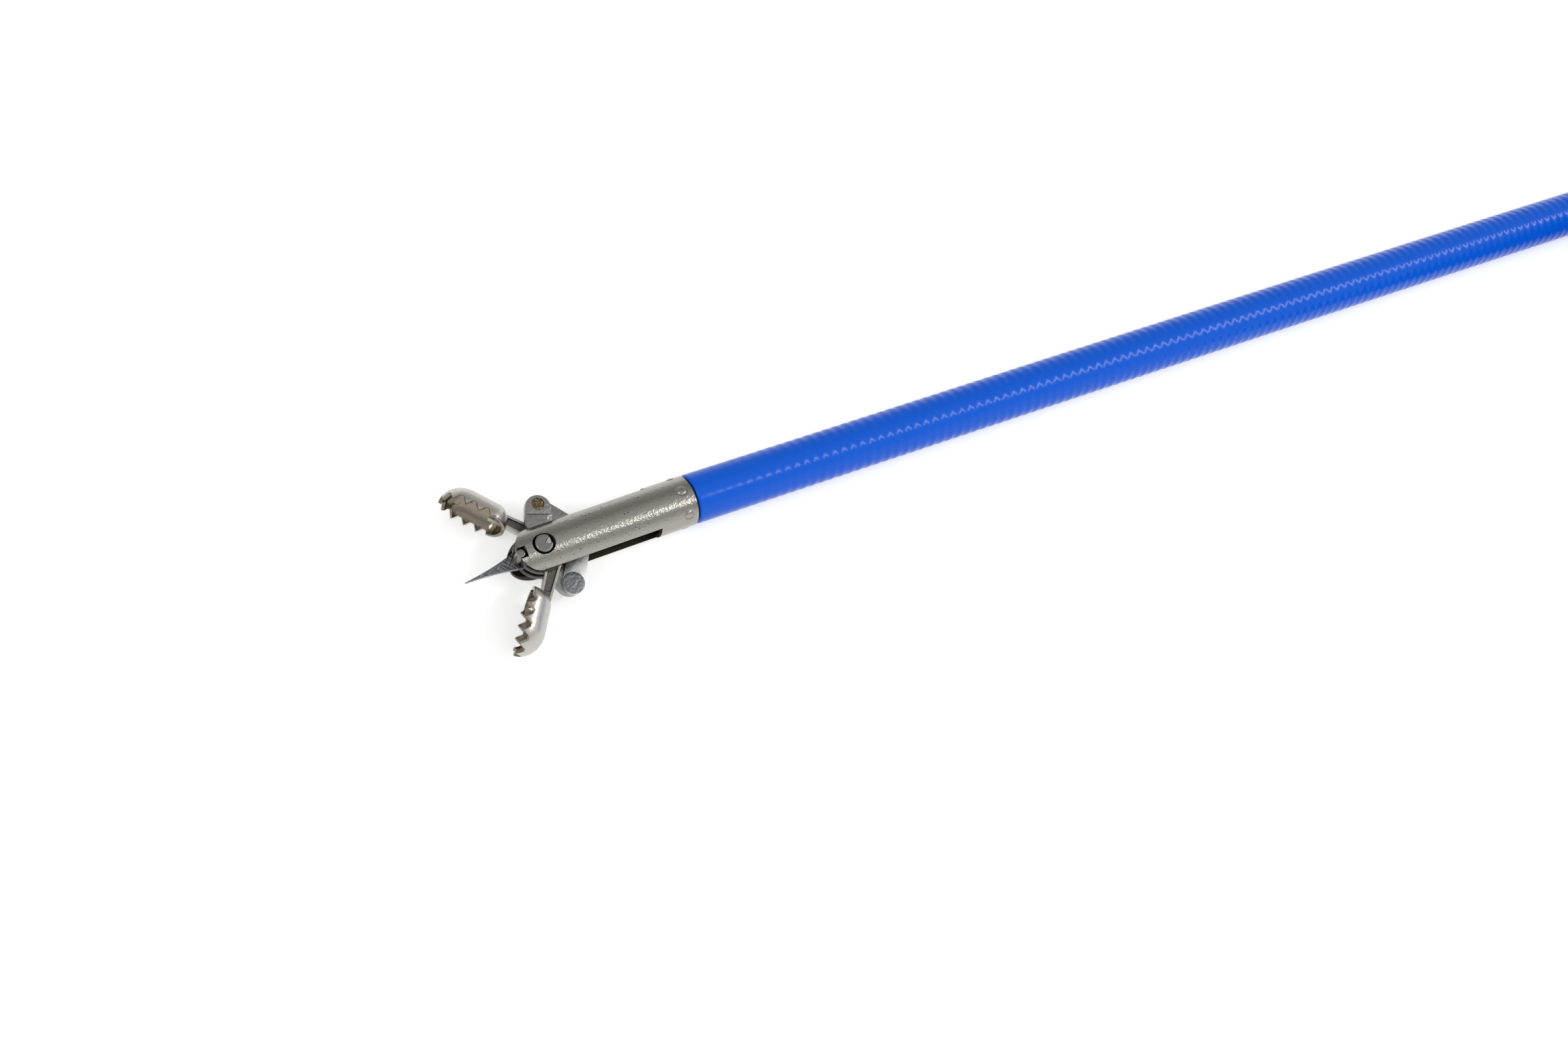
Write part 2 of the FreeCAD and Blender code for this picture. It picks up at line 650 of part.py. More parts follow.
def make_spool():
    groove_front = spool_front + spool_flange_length
    groove_rear = spool_rear - spool_flange_length
    middle = (spool_front + spool_rear) / 2
    rim = spool_flange_length / 2
    waist = Part.Arc(Vector(groove_front, spool_flange_radius - rim, 0), Vector(middle, spool_waist_radius, 0),
                     Vector(groove_rear, spool_flange_radius - rim, 0)).toShape()
    front_rim = Part.Arc(Vector(spool_front, spool_flange_radius - rim, 0),
                         Vector(spool_front + rim, spool_flange_radius, 0),
                         Vector(groove_front, spool_flange_radius - rim, 0)).toShape()
    rear_rim = Part.Arc(Vector(groove_rear, spool_flange_radius - rim, 0),
                        Vector(spool_rear - rim, spool_flange_radius, 0),
                        Vector(spool_rear, spool_flange_radius - rim, 0)).toShape()
    edges = [front_rim, waist, rear_rim,
             Part.LineSegment(Vector(spool_rear, spool_flange_radius - rim, 0), Vector(spool_rear, 0, 0)).toShape(),
             Part.LineSegment(Vector(spool_rear, 0, 0), Vector(spool_front, 0, 0)).toShape(),
             Part.LineSegment(Vector(spool_front, 0, 0), Vector(spool_front, spool_flange_radius - rim, 0)).toShape()]
    spool = turned_edges(edges)
    passage = rod(Vector(spool_front - 1, 0, 0), Vector(spool_rear + 1, 0, 0), shaft_radius + spool_clearance)
    flats = shaft_half_width + spool_clearance
    passage = passage.common(block(spool_front - 1, spool_rear + 1, -flats, flats, -9, 9))
    pocket = block(middle - clamp_half_length, middle + clamp_half_length, -clamp_half_width, clamp_half_width,
                   -clamp_half_height, clamp_half_height)
    spool = spool.cut(passage).cut(pocket)
    spool = spool.cut(rod(Vector(middle, 0, 0), Vector(middle, 0, 20), screw_radius + 0.3))
    upper = spool.common(block(0, 99, -20, 20, 0, 20))
    lower = spool.common(block(0, 99, -20, 20, -20, 0))
    return upper, lower


def make_wire_clamp():
    middle = (spool_front + spool_rear) / 2
    clamp = block(middle - clamp_half_length, middle + clamp_half_length, -clamp_half_width, clamp_half_width,
                  -clamp_half_height, clamp_half_height)
    clamp = clamp.cut(rod(Vector(middle - 9, 0, 0), Vector(middle + 9, 0, 0), drive_tube_radius))
    return clamp.cut(rod(Vector(middle, 0, 0), Vector(middle, 0, 9), screw_radius))


def make_clamp_screw():
    middle = (spool_front + spool_rear) / 2
    top = clamp_half_height - 0.3
    screw = rod(Vector(middle, 0, drive_tube_radius), Vector(middle, 0, top), screw_radius)
    return screw.cut(block(middle - 2, middle + 2, -0.15, 0.15, top - 0.5, top + 1))


def make_drive_tube():
    middle = (spool_front + spool_rear) / 2
    start = Vector(shaft_front - 5.0, 0, 0)
    end = Vector(middle + clamp_half_length + 2.0, 0, 0)
    return rod(start, end, drive_tube_radius).cut(rod(start - X, end + X, drive_tube_bore))


def make_thumb_ring():
    middle_radius = (ring_outer_radius + ring_bore_radius) / 2
    half_width = (ring_outer_radius - ring_bore_radius) / 2
    half_thick = ring_thickness / 2
    flat_half = half_width * 0.45
    corners = [Vector(middle_radius + x, 0, z) for x, z in
               ((flat_half, -half_thick), (flat_half, half_thick), (-flat_half, half_thick), (-flat_half, -half_thick))]
    section = Part.Wire([
        Part.Arc(corners[0], Vector(ring_outer_radius, 0, 0), corners[1]).toShape(),
        Part.LineSegment(corners[1], corners[2]).toShape(),
        Part.Arc(corners[2], Vector(ring_bore_radius, 0, 0), corners[3]).toShape(),
        Part.LineSegment(corners[3], corners[0]).toShape(),
    ])
    ring = Part.Face(section).revolve(ORIGIN, Z, 360)
    ring.translate(Vector(ring_centre, 0, 0))
    boss_front = shaft_rear - spigot_length
    boss_rear = ring_centre - ring_bore_radius - half_width
    boss = turned([(boss_front, 0), (boss_front, ring_boss_radius - 0.5), (boss_front + 0.5, ring_boss_radius),
                   (boss_front + 3.0, ring_boss_radius), (boss_rear, half_thick * 0.9), (boss_rear, 0)])
    ring = ring.fuse(boss)
    ring = ring.cut(rod(Vector(boss_front - 1, 0, 0), Vector(shaft_rear, 0, 0), spigot_radius))
    pin_x = shaft_rear - spigot_length / 2
    return ring.cut(rod(Vector(pin_x, 0, -9), Vector(pin_x, 0, 9), ring_pin_radius))


def make_ring_pin():
    pin_x = shaft_rear - spigot_length / 2
    reach = ring_boss_radius - 0.7
    return rod(Vector(pin_x, 0, -reach), Vector(pin_x, 0, reach), ring_pin_radius)


def build():
    upper_jaw = make_jaw(False)
    lower_jaw = flipped(make_jaw(True))
    rivet = make_rivet()
    link = make_link()
    coil = make_coil()
    spool_upper, spool_lower = make_spool()
    lean = mechanism_lean
    pieces = {
        "sleeve": make_sleeve(),
        "sheath_collar": make_collar(),
        "pivot_pin": make_pivot_pin(),
        "spike": swung(make_spike(), spike_lean),
        "locating_pin": swung(make_locating_pin(), spike_lean),
        "jaw_upper": swung(upper_jaw, lean - open_angle),
        "jaw_lower": swung(lower_jaw, lean + open_angle),
        "rivet_upper_jaw": swung(rivet, lean - open_angle),
        "rivet_lower_jaw": swung(flipped(rivet), lean + open_angle),
        "link_upper_jaw": swung(link, lean),
        "link_lower_jaw": swung(flipped(link), lean),
        "crosshead": swung(make_crosshead(), lean),
        "crosshead_pin": swung(make_crosshead_pin(), lean),
        "pull_wire": swung(make_pull_wire(), lean),
        "sheath_straight": make_straight(coil),
        "sheath_coil": coil,
        "sheath_tail": make_tail(coil),
        "strain_relief": place_on_handle(make_strain_relief()),
        "sheath_anchor": place_on_handle(make_anchor()),
        "nose_nut": place_on_handle(make_nose_nut()),
        "handle_shaft": place_on_handle(make_shaft()),
        "thumb_ring": place_on_handle(make_thumb_ring()),
        "ring_pin": place_on_handle(make_ring_pin()),
        "spool_upper": place_on_handle(spool_upper),
        "spool_lower": place_on_handle(spool_lower),
        "wire_clamp": place_on_handle(make_wire_clamp()),
        "clamp_screw": place_on_handle(make_clamp_screw()),
        "drive_tube": place_on_handle(make_drive_tube()),
    }
    return pieces


os.makedirs("parts", exist_ok=True)
for name, shape in build().items():
    shape.exportStep(os.path.join("parts", name + ".step"))
    print(name, "solids", len(shape.Solids), "volume", round(shape.Volume, 3), "valid", shape.isValid())
print("tilt", round(tilt, 3), "crosshead", round(crosshead_x(tail_open_angle), 3),
      round(crosshead_x(tail_closed_angle), 3), "ring centre", round(ring_centre, 2), "handle end", round(handle_end, 2))
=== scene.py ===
"""Flexible biopsy forceps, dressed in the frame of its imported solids.

Lengths in the shape functions are millimetres in the shared frame: origin at the jaw pivot,
+X along the sleeve towards the handle, +Z up. They become metres when a mesh is made.
"""
import math

import bmesh
import bpy
import numpy as np
from mathutils import Matrix, Vector


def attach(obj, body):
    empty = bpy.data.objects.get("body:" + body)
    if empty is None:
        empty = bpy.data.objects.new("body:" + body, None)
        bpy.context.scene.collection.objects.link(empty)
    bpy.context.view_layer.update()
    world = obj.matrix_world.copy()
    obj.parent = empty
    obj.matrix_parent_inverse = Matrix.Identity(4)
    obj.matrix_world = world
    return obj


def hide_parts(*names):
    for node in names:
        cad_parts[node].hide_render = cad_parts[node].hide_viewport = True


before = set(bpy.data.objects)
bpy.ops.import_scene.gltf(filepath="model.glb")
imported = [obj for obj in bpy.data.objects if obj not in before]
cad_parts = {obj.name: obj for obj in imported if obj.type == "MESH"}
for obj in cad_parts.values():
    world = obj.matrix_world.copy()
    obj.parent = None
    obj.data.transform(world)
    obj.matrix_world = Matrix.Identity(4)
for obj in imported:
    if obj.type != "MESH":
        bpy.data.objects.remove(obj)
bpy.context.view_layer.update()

bl_info = {
    "name": "Flexible biopsy forceps",
    "version": (1, 0, 0),
    "blender": (4, 5, 0),
    "location": "View3D > Sidebar > Forceps",
    "description": "Builds the visible pieces, materials and stage of a flexible biopsy forceps",
    "category": "Object",
}

MM = 0.001

# Sleeve
SLEEVE_R = 1.15
SLEEVE_WALL = 0.2
SLEEVE_FRONT = -1.2
SLEEVE_REAR = 7.33
SLOT_REAR = 5.49
SLOT_HALF = 0.575
FRONT_FLAT = 0.3
FRONT_SHOULDER = (-0.98, 0.68)
FRONT_CORNER_X = -0.3
FRONT_FADE = 3.0
BORE_SAME_Y = 0.55
WELD_X = SLEEVE_REAR - 0.47
WELD_TURN = 11.0
WELD_COUNT = 6
WELD_R = 0.19
WELD_RISE = 0.026
WELD_RING_R = 0.22
WELD_RING_WIDTH = 0.03
WELD_RING_SINK = 0.035
NOTCH_HALF = 0.25
NOTCH_BEHIND_PIN = 0.27
PIVOT_HOLE_R = 0.525
PIVOT_HOLE_ACROSS = 0.05
SINK_R = 0.42
SINK_Z = 0.87
SINK_DEPTH = 0.12
SKIN_GAP = 0.004
AROUND_SLEEVE = 240

# Jaws
OPEN_ANGLE = 52.0
LEAN = 3.0
PLATE_INNER = 0.145
PLATE_OUTER = 0.47
PAD_OUTER = 0.55
HUB_R = 1.1
HUB_HOLE_R = 0.42
TAIL_ARM = 2.03
TAIL_ANGLE = 15.8
TAIL_END_R = 0.57
TAIL_END_INSET = 0.16
TAIL_ROOT_R = 0.69
TAIL_FILLET = 0.12
RIVET_HOLE_R = 0.28
PAD_STEP = 0.47
ARM_FRONT = -2.62
ARM_REAR = -0.1
ARM_LOW = 0.38
ARM_HIGH = 0.88
ARM_SLANT = 0.16
ARM_POCKET = 0.1
POCKET_FRONT = -1.83
POCKET_REAR = -0.27
ARM_RIM = 0.11
ARM_RIM_SLOPE = 0.025
SPIKE_GAP = 0.15
SPIKE_GAP_TOP = 0.3
CUP_TIP = -4.85
CUP_REAR = -1.72
CUP_HALF = 1.16
CUP_DEPTH = 1.0
CUP_REAR_LENGTH = 0.75
CUP_WALL = 0.16
CUP_STEPS = 22
TOOTH_PITCH = 0.6
TOOTH_HALF = 0.15
TOOTH_FLAT = 0.16
TOOTH_CLEAR = 0.05

# Pins, rivets and links
PIVOT_R = 0.4
PIVOT_TOP = SLEEVE_R + 0.03
NICK_TURN = 10
NICK_START = 0.04
NICK_DEPTH = 0.16
LOCATING_X = -1.125
LOCATING_R = 0.2
SPIKE_LEAN = 4.0
RIVET_HEAD_R = 0.5
RIVET_HEAD_H = 0.11
RIVET_END_R = 0.275
LINK_LENGTH = 2.35
LINK_INNER = 0.01
LINK_OUTER = 0.13
LINK_TAIL_R = 0.5
LINK_REAR_R = 0.42

# Spike: each point is a place along X and the half width there
SPIKE_TIP = (-3.59, 0.02)
SPIKE_WAIST = (-2.0, 0.195)
SPIKE_BASE = (-0.75, 0.5)
SPIKE_NOSE = 0.03
SPIKE_ROOT_R = 0.62
SPIKE_HALF = 0.125
SPIKE_CHAMFER = 0.022

# Sheath
SHEATH_R = 1.15
SHEATH_START = 7.45
STRAIGHT_END = (70.0, -1.07, 0.0)
RIDGE_PITCH = 0.5
RIDGE_DEPTH = 0.022
RIDGES_END = 72.0
FRONT_ROUND = 0.14
COIL_CENTRE = (80.0, -22.065)
COIL_OUTER = 20.825
COIL_INNER = 13.775
COIL_TURNS = 13.5 - 17 / 360
LAYER_TURNS = 3.5
FLAT_TURNS = 3.0
LAYERS = 4
TURN_PITCH = 2.35
POINTS_PER_TURN = 24
LEAVE_TURN = 13.15
LEAVE_RISE = 1.2
TAIL_BEND = 13.976
TAIL_BEND_CENTRE = (COIL_CENTRE[0], COIL_CENTRE[1] - COIL_OUTER + 12.9125)
TAIL_POINTS = ((247.5, 9.7), (202.5, 11.2), (157.5, 13.2), (112.5, 15.2))
HANDLE_TILT = 5.687
RELIEF_NOSE = (92.0, -17.065, 15.934)
ENTRY_LENGTH = 8

# Stage: the camera's place in millimetres and its three axes
FLOOR_GLOW = 0.45
CAMERA_EYE = (-29.628, -22.693, 87.749)
CAMERA_RIGHT = (0.85695, -0.41688, 0.30306)
CAMERA_UP = (0.30841, 0.88589, 0.34652)
CAMERA_BACK = (-0.41294, -0.20348, 0.88774)
CAMERA_LENS = 50.0
CAMERA_SENSOR = 36.0

HALF_TURN = np.array([1.0, -1.0, -1.0])


# Mesh helpers

def quads(rows, columns, wrap_rows=False, wrap_columns=False):
    """Four corners of every cell of a grid of points, counted row by row."""
    r = np.arange(rows if wrap_rows else rows - 1)[:, None]
    c = np.arange(columns if wrap_columns else columns - 1)[None, :]
    r2 = (r + 1) % rows
    c2 = (c + 1) % columns
    corners = [r * columns + c, r2 * columns + c, r2 * columns + c2, r * columns + c2]
    return np.stack(corners, axis=-1).reshape(-1, 4)


def grid(points, wrap_rows=False, wrap_columns=False):
    """A grid of points (rows x columns x 3) as points and four-cornered faces."""
    return points.reshape(-1, 3), quads(*points.shape[:2], wrap_rows, wrap_columns).tolist()


def joined(first, second):
    """Two (points, faces) pairs as one."""
    faces = first[1] + [[i + len(first[0]) for i in face] for face in second[1]]
    return np.concatenate([first[0], second[0]]), faces


def xyz(x, y, z):
    """Points from their three coordinates, of which any may be one number for all."""
    return np.stack(np.broadcast_arrays(x, y, z), axis=-1)


def capped(points):
    """Rings of points (rings x corners x 3) joined to a tube with a face over each end."""
    rings, corners = points.shape[:2]
    flat, faces = grid(points, wrap_columns=True)
    return flat, faces + [list(range(corners)), list(range((rings - 1) * corners, rings * corners))]


def around(turns):
    """Evenly spaced angles of a full turn."""
    return np.linspace(0, 2 * math.pi, turns, endpoint=False)


def turned(profile, turns=64):
    """A profile of (height, radius) pairs turned about the Z axis: x = r cos a, y = r sin a, z = h."""
    height, radius = np.asarray(profile, float).T
    angle = around(turns)[:, None]
    return xyz(radius * np.cos(angle), radius * np.sin(angle), height)


def circle_through(a, b, c):
    """Centre and radius of the circle through three points: it is as far from each of them."""
    centre = np.linalg.solve(2 * np.array([b - a, c - a]), [b @ b - a @ a, c @ c - a @ a])
    return centre, np.linalg.norm(a - centre)


def swing(points, degrees, flip=False):
    """Half a turn about X first where flip is set, then a turn about Z by this many degrees."""
    points = np.array(points, float)
    if flip:
        points = points * HALF_TURN
    angle = math.radians(degrees)
    x = points[..., 0] * math.cos(angle) - points[..., 1] * math.sin(angle)
    y = points[..., 0] * math.sin(angle) + points[..., 1] * math.cos(angle)
    return xyz(x, y, points[..., 2])


def upper(points):
    """From the closed upper jaw to its open place in the shared frame."""
    return swing(points, LEAN - OPEN_ANGLE)


def lower(points):
    """The same shape as the lower jaw, turned over and swung the other way."""
    return swing(points, LEAN + OPEN_ANGLE, flip=True)


def polar(radius, degrees):
    """The point at this radius and angle in the XY plane: (r cos a, r sin a)."""
    angle = math.radians(degrees)
    return np.array([radius * math.cos(angle), radius * math.sin(angle)])


def make_object(name, shape, material, body, nodes=(), bevel=0.0, sharp=40.0, shade_finish=None, shaded=None):
    """A mesh object from points in millimetres, merged, with outward faces, riding on a body.

    The second material, where one is given, is painted shade on the faces that the mask marks.
    """
    points, faces = shape
    mesh = bpy.data.meshes.new(name)
    mesh.from_pydata((np.asarray(points) * MM).tolist(), [], faces)
    obj = bpy.data.objects.new(name, mesh)
    bpy.context.scene.collection.objects.link(obj)
    mesh.materials.append(material)
    if shade_finish:
        mesh.materials.append(shade_finish)
    if shaded is not None:
        mesh.polygons.foreach_set("material_index", shaded.astype(np.int32))
    clean(mesh)
    mesh.polygons.foreach_set("use_smooth", np.ones(len(mesh.polygons), bool))
    if bevel:
        rounding = obj.modifiers.new("rounding", "BEVEL")
        rounding.width = bevel * MM
        rounding.segments = 2
        rounding.limit_method = "ANGLE"
        rounding.angle_limit = math.radians(sharp)
        rounding.harden_normals = True
    else:
        mesh.set_sharp_from_angle(angle=math.radians(sharp))
    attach(obj, body)
    if nodes:
        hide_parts(*nodes)
    return obj


def clean(mesh):
    """Merge points closer than a ten-thousandth of a millimetre and point the faces outwards."""
    work = bmesh.new()
    work.from_mesh(mesh)
    bmesh.ops.remove_doubles(work, verts=work.verts, dist=2e-7)
    bmesh.ops.dissolve_degenerate(work, dist=1e-8, edges=work.edges)
    bmesh.ops.recalc_face_normals(work, faces=work.faces)
    work.to_mesh(mesh)
    work.free()


# Materials

def new_material(name, color, roughness, metallic=0.0):
    """A material with its shader, whose three main values are set on its own sockets."""
    material = bpy.data.materials.new(name)
    material.use_nodes = True
    shader = material.node_tree.nodes["Principled BSDF"]
    shader.inputs["Base Color"].default_value = (*color, 1.0)
    shader.inputs["Roughness"].default_value = roughness
    shader.inputs["Metallic"].default_value = metallic
    return material, shader


def feed(material, socket, value):
    """Give an input a number or colour, or join it to another node's output."""
    if isinstance(value, bpy.types.NodeSocket):
        material.node_tree.links.new(value, socket)
    else:
        socket.default_value = value


def add(material, kind, **values):
    """A node with its named properties and inputs set."""
    node = material.node_tree.nodes.new(kind)
    for key, value in values.items():
        if hasattr(node, key):
            setattr(node, key, value)
        else:
            feed(material, node.inputs[key], value)
    return node


def calc(material, operation, *values, clamp=False):
    """A Math node whose inputs are other nodes' outputs or numbers."""
    node = add(material, "ShaderNodeMath", operation=operation, use_clamp=clamp)
    for socket, value in zip(node.inputs, values):
        feed(material, socket, value)
    return node.outputs["Value"]


def object_place(material, turn=(0.0, 0.0, 0.0)):
    """Object coordinates in millimetres, turned where told."""
    source = add(material, "ShaderNodeTexCoord").outputs["Object"]
    return add(material, "ShaderNodeMapping", Vector=source, Scale=(1 / MM, 1 / MM, 1 / MM),
               Rotation=turn).outputs["Vector"]


def noise(material, vector, scale, detail=2.0, rough=0.5):
    """Noise of this many waves to the millimetre."""
    return add(material, "ShaderNodeTexNoise", Vector=vector, Scale=scale, Detail=detail,
               Roughness=rough).outputs["Fac"]


def ramp(material, fac, stops):
    """A ramp of (place, grey) stops."""
    node = add(material, "ShaderNodeValToRGB", Fac=fac)
    elements = node.color_ramp.elements
    while len(elements) < len(stops):
        elements.new(0.5)
    for element, (place, grey) in zip(elements, stops):
        element.position = place
        element.color = (grey, grey, grey, 1.0)
    return node.outputs["Color"]


def bump(material, shader, height, depth, **before):
    """Bump whose height of one is this many millimetres, over an earlier one where its Normal is given."""
    node = add(material, "ShaderNodeBump", Height=height, Strength=1.0, Distance=depth * MM, **before)
    feed(material, shader.inputs["Normal"], node.outputs["Normal"])
    return node.outputs["Normal"]


def steel(name, color, roughness, grain, grain_depth, mottle, pits=0.0):
    """Blasted or satin steel: fine grain in the normal, faint mottling in the roughness, and a few pits."""
    material, shader = new_material(name, color, roughness, 1.0)
    place = object_place(material)
    cloud = noise(material, place, 3.0, 3.0)
    feed(material, shader.inputs["Roughness"],
         ramp(material, cloud, [(0.3, roughness - mottle), (0.7, roughness + mottle)]))
    bump(material, shader, noise(material, place, grain, 2.0, 0.6), grain_depth)
    if pits:
        spots = ramp(material, noise(material, place, 9.0, 1.0), [(0.7, 0.0), (0.76, 1.0)])
        dark = add(material, "ShaderNodeMix", data_type="RGBA", Factor=spots, A=(*color, 1.0),
                   B=(*(c * (1 - pits) for c in color), 1.0))
        feed(material, shader.inputs["Base Color"], dark.outputs["Result"])
    return material


def make_materials():
    """All surface finishes, by name."""
    colors = bpy.context.scene.forceps_colors
    blue = tuple(colors.jacket)
    # Name, colour, roughness, grain to the millimetre, its depth in millimetres, mottle, pits
    steels = {
        "sleeve": ("sleeve_steel", tuple(colors.sleeve), 0.22, 9.0, 0.015, 0.03, 0.75),
        "cup": ("cup_steel", tuple(colors.cups), 0.34, 8.0, 0.006, 0.05, 0.3),
        # Painted shade inside the cups and in a band just below their rims outside
        "cup_shade": ("cup_shade_steel", (0.25, 0.215, 0.17), 0.16, 5.0, 0.02, 0.05, 0.4),
        # Painted shade in the arms' channels
        "pocket": ("arm_pocket_shade_steel", (0.15, 0.14, 0.125), 0.38, 9.0, 0.02, 0.06, 0.4),
        # Painted shade on the hubs, which sit between the sleeve's walls
        "hub": ("hub_shade_steel", (0.07, 0.066, 0.06), 0.34, 9.0, 0.01, 0.06, 0.4),
        # Painted shade in the sleeve's bore and on the cut faces of its wall
        "inside": ("sleeve_bore_shade", (0.06, 0.052, 0.038), 0.5, 15.0, 0.004, 0.05),
        # Darker copy of the jaw steel: painted shade on the tails, pads and one link
        "plate": ("plate_shade_steel", (0.3, 0.295, 0.28), 0.28, 6.0, 0.03, 0.08, 0.5),
        "link": ("link_steel", (0.6, 0.6, 0.57), 0.4, 12.0, 0.006, 0.06),
        "pin": ("pin_steel", (0.24, 0.235, 0.22), 0.3, 10.0, 0.012, 0.08, 0.4),
        "rivet": ("rivet_steel", (0.22, 0.23, 0.24), 0.34, 7.0, 0.05, 0.08, 0.5),
        "rivet_end": ("rivet_end_steel", (0.15, 0.115, 0.06), 0.25, 5.0, 0.09, 0.08, 0.6),
        # Dark steel of the inner parts, also used as painted shade in the pivot's sunk rings
        "dark": ("dark_steel", (0.09, 0.085, 0.08), 0.4, 20.0, 0.001, 0.05),
        "brass": ("clamp_brass", (0.72, 0.5, 0.2), 0.3, 10.0, 0.001, 0.05)}
    # Name, colour, roughness, grain to the millimetre, its depth in millimetres
    plastics = {
        "relief": ("relief_rubber", tuple(c * 0.75 for c in blue), 0.5, 12.0, 0.004),
        "handle": ("handle_plastic", tuple(colors.handle), 0.38, 8.0, 0.004),
        "spool": ("spool_plastic", blue, 0.36, 8.0, 0.004)}
    looks = {"spike": spike_steel(), "jacket": jacket(blue)}
    looks.update({key: steel(*values) for key, values in steels.items()})
    looks.update({key: plastic(*values) for key, values in plastics.items()})
    return looks


def spike_steel():
    """Flat steel with fine crossing grind lines over the blade."""
    material, shader = new_material("spike_steel", (0.2, 0.205, 0.22), 0.26, 1.0)
    heights = []
    for turn in (0.9, -0.7):
        stretch = add(material, "ShaderNodeMapping", Vector=object_place(material, (0.0, 0.0, turn)),
                      Scale=(0.15, 1.0, 0.15))
        heights.append(noise(material, stretch.outputs["Vector"], 9.0, 1.0))
    bump(material, shader, calc(material, "ADD", *heights), 0.05)
    return material


def plastic(name, color, roughness, grain, depth):
    """Satin moulding: a very fine grain in the normal."""
    material, shader = new_material(name, color, roughness)
    shader.inputs["Specular IOR Level"].default_value = 0.45
    place = object_place(material)
    bump(material, shader, noise(material, place, grain, 2.0), depth)
    return material


def jacket(color):
    """Semi-gloss coating over a close spring: ridges from the length coordinate, fine dust bumps."""
    material, shader = new_material("sheath_jacket", color, 0.2)
    shader.inputs["Specular IOR Level"].default_value = 0.22
    uv = add(material, "ShaderNodeUVMap", uv_map="travel").outputs["UV"]
    parts = add(material, "ShaderNodeSeparateXYZ", Vector=uv)
    wave = calc(material, "COSINE", calc(material, "MULTIPLY", parts.outputs["X"], 2 * math.pi))
    ridges = calc(material, "MULTIPLY", wave, parts.outputs["Y"])
    first = bump(material, shader, ridges, RIDGE_DEPTH / 2)
    place = object_place(material)
    bump(material, shader, noise(material, place, 5.0, 3.0, 0.6), 0.003, Normal=first)
    return material


# Sleeve

def front_edge(y):
    """How far the sleeve's front is cut back at this height: an arc through flat end, shoulder and corner."""
    flat = np.array([SLEEVE_FRONT, FRONT_FLAT])
    corner = np.array([FRONT_CORNER_X, math.sqrt(SLEEVE_R ** 2 - SLOT_HALF ** 2)])
    centre, radius = circle_through(flat, np.array(FRONT_SHOULDER), corner)
    height = np.clip(np.abs(y), FRONT_FLAT, corner[1])
    x = centre[0] - np.sqrt(radius ** 2 - (height - centre[1]) ** 2)
    return np.maximum(x, SLEEVE_FRONT) - SLEEVE_FRONT


def pivot_hole(direction):
    """Radius of the countersunk hole's edge, seen along Z, a little less across the tube."""
    return PIVOT_HOLE_R - PIVOT_HOLE_ACROSS * np.sin(direction) ** 2


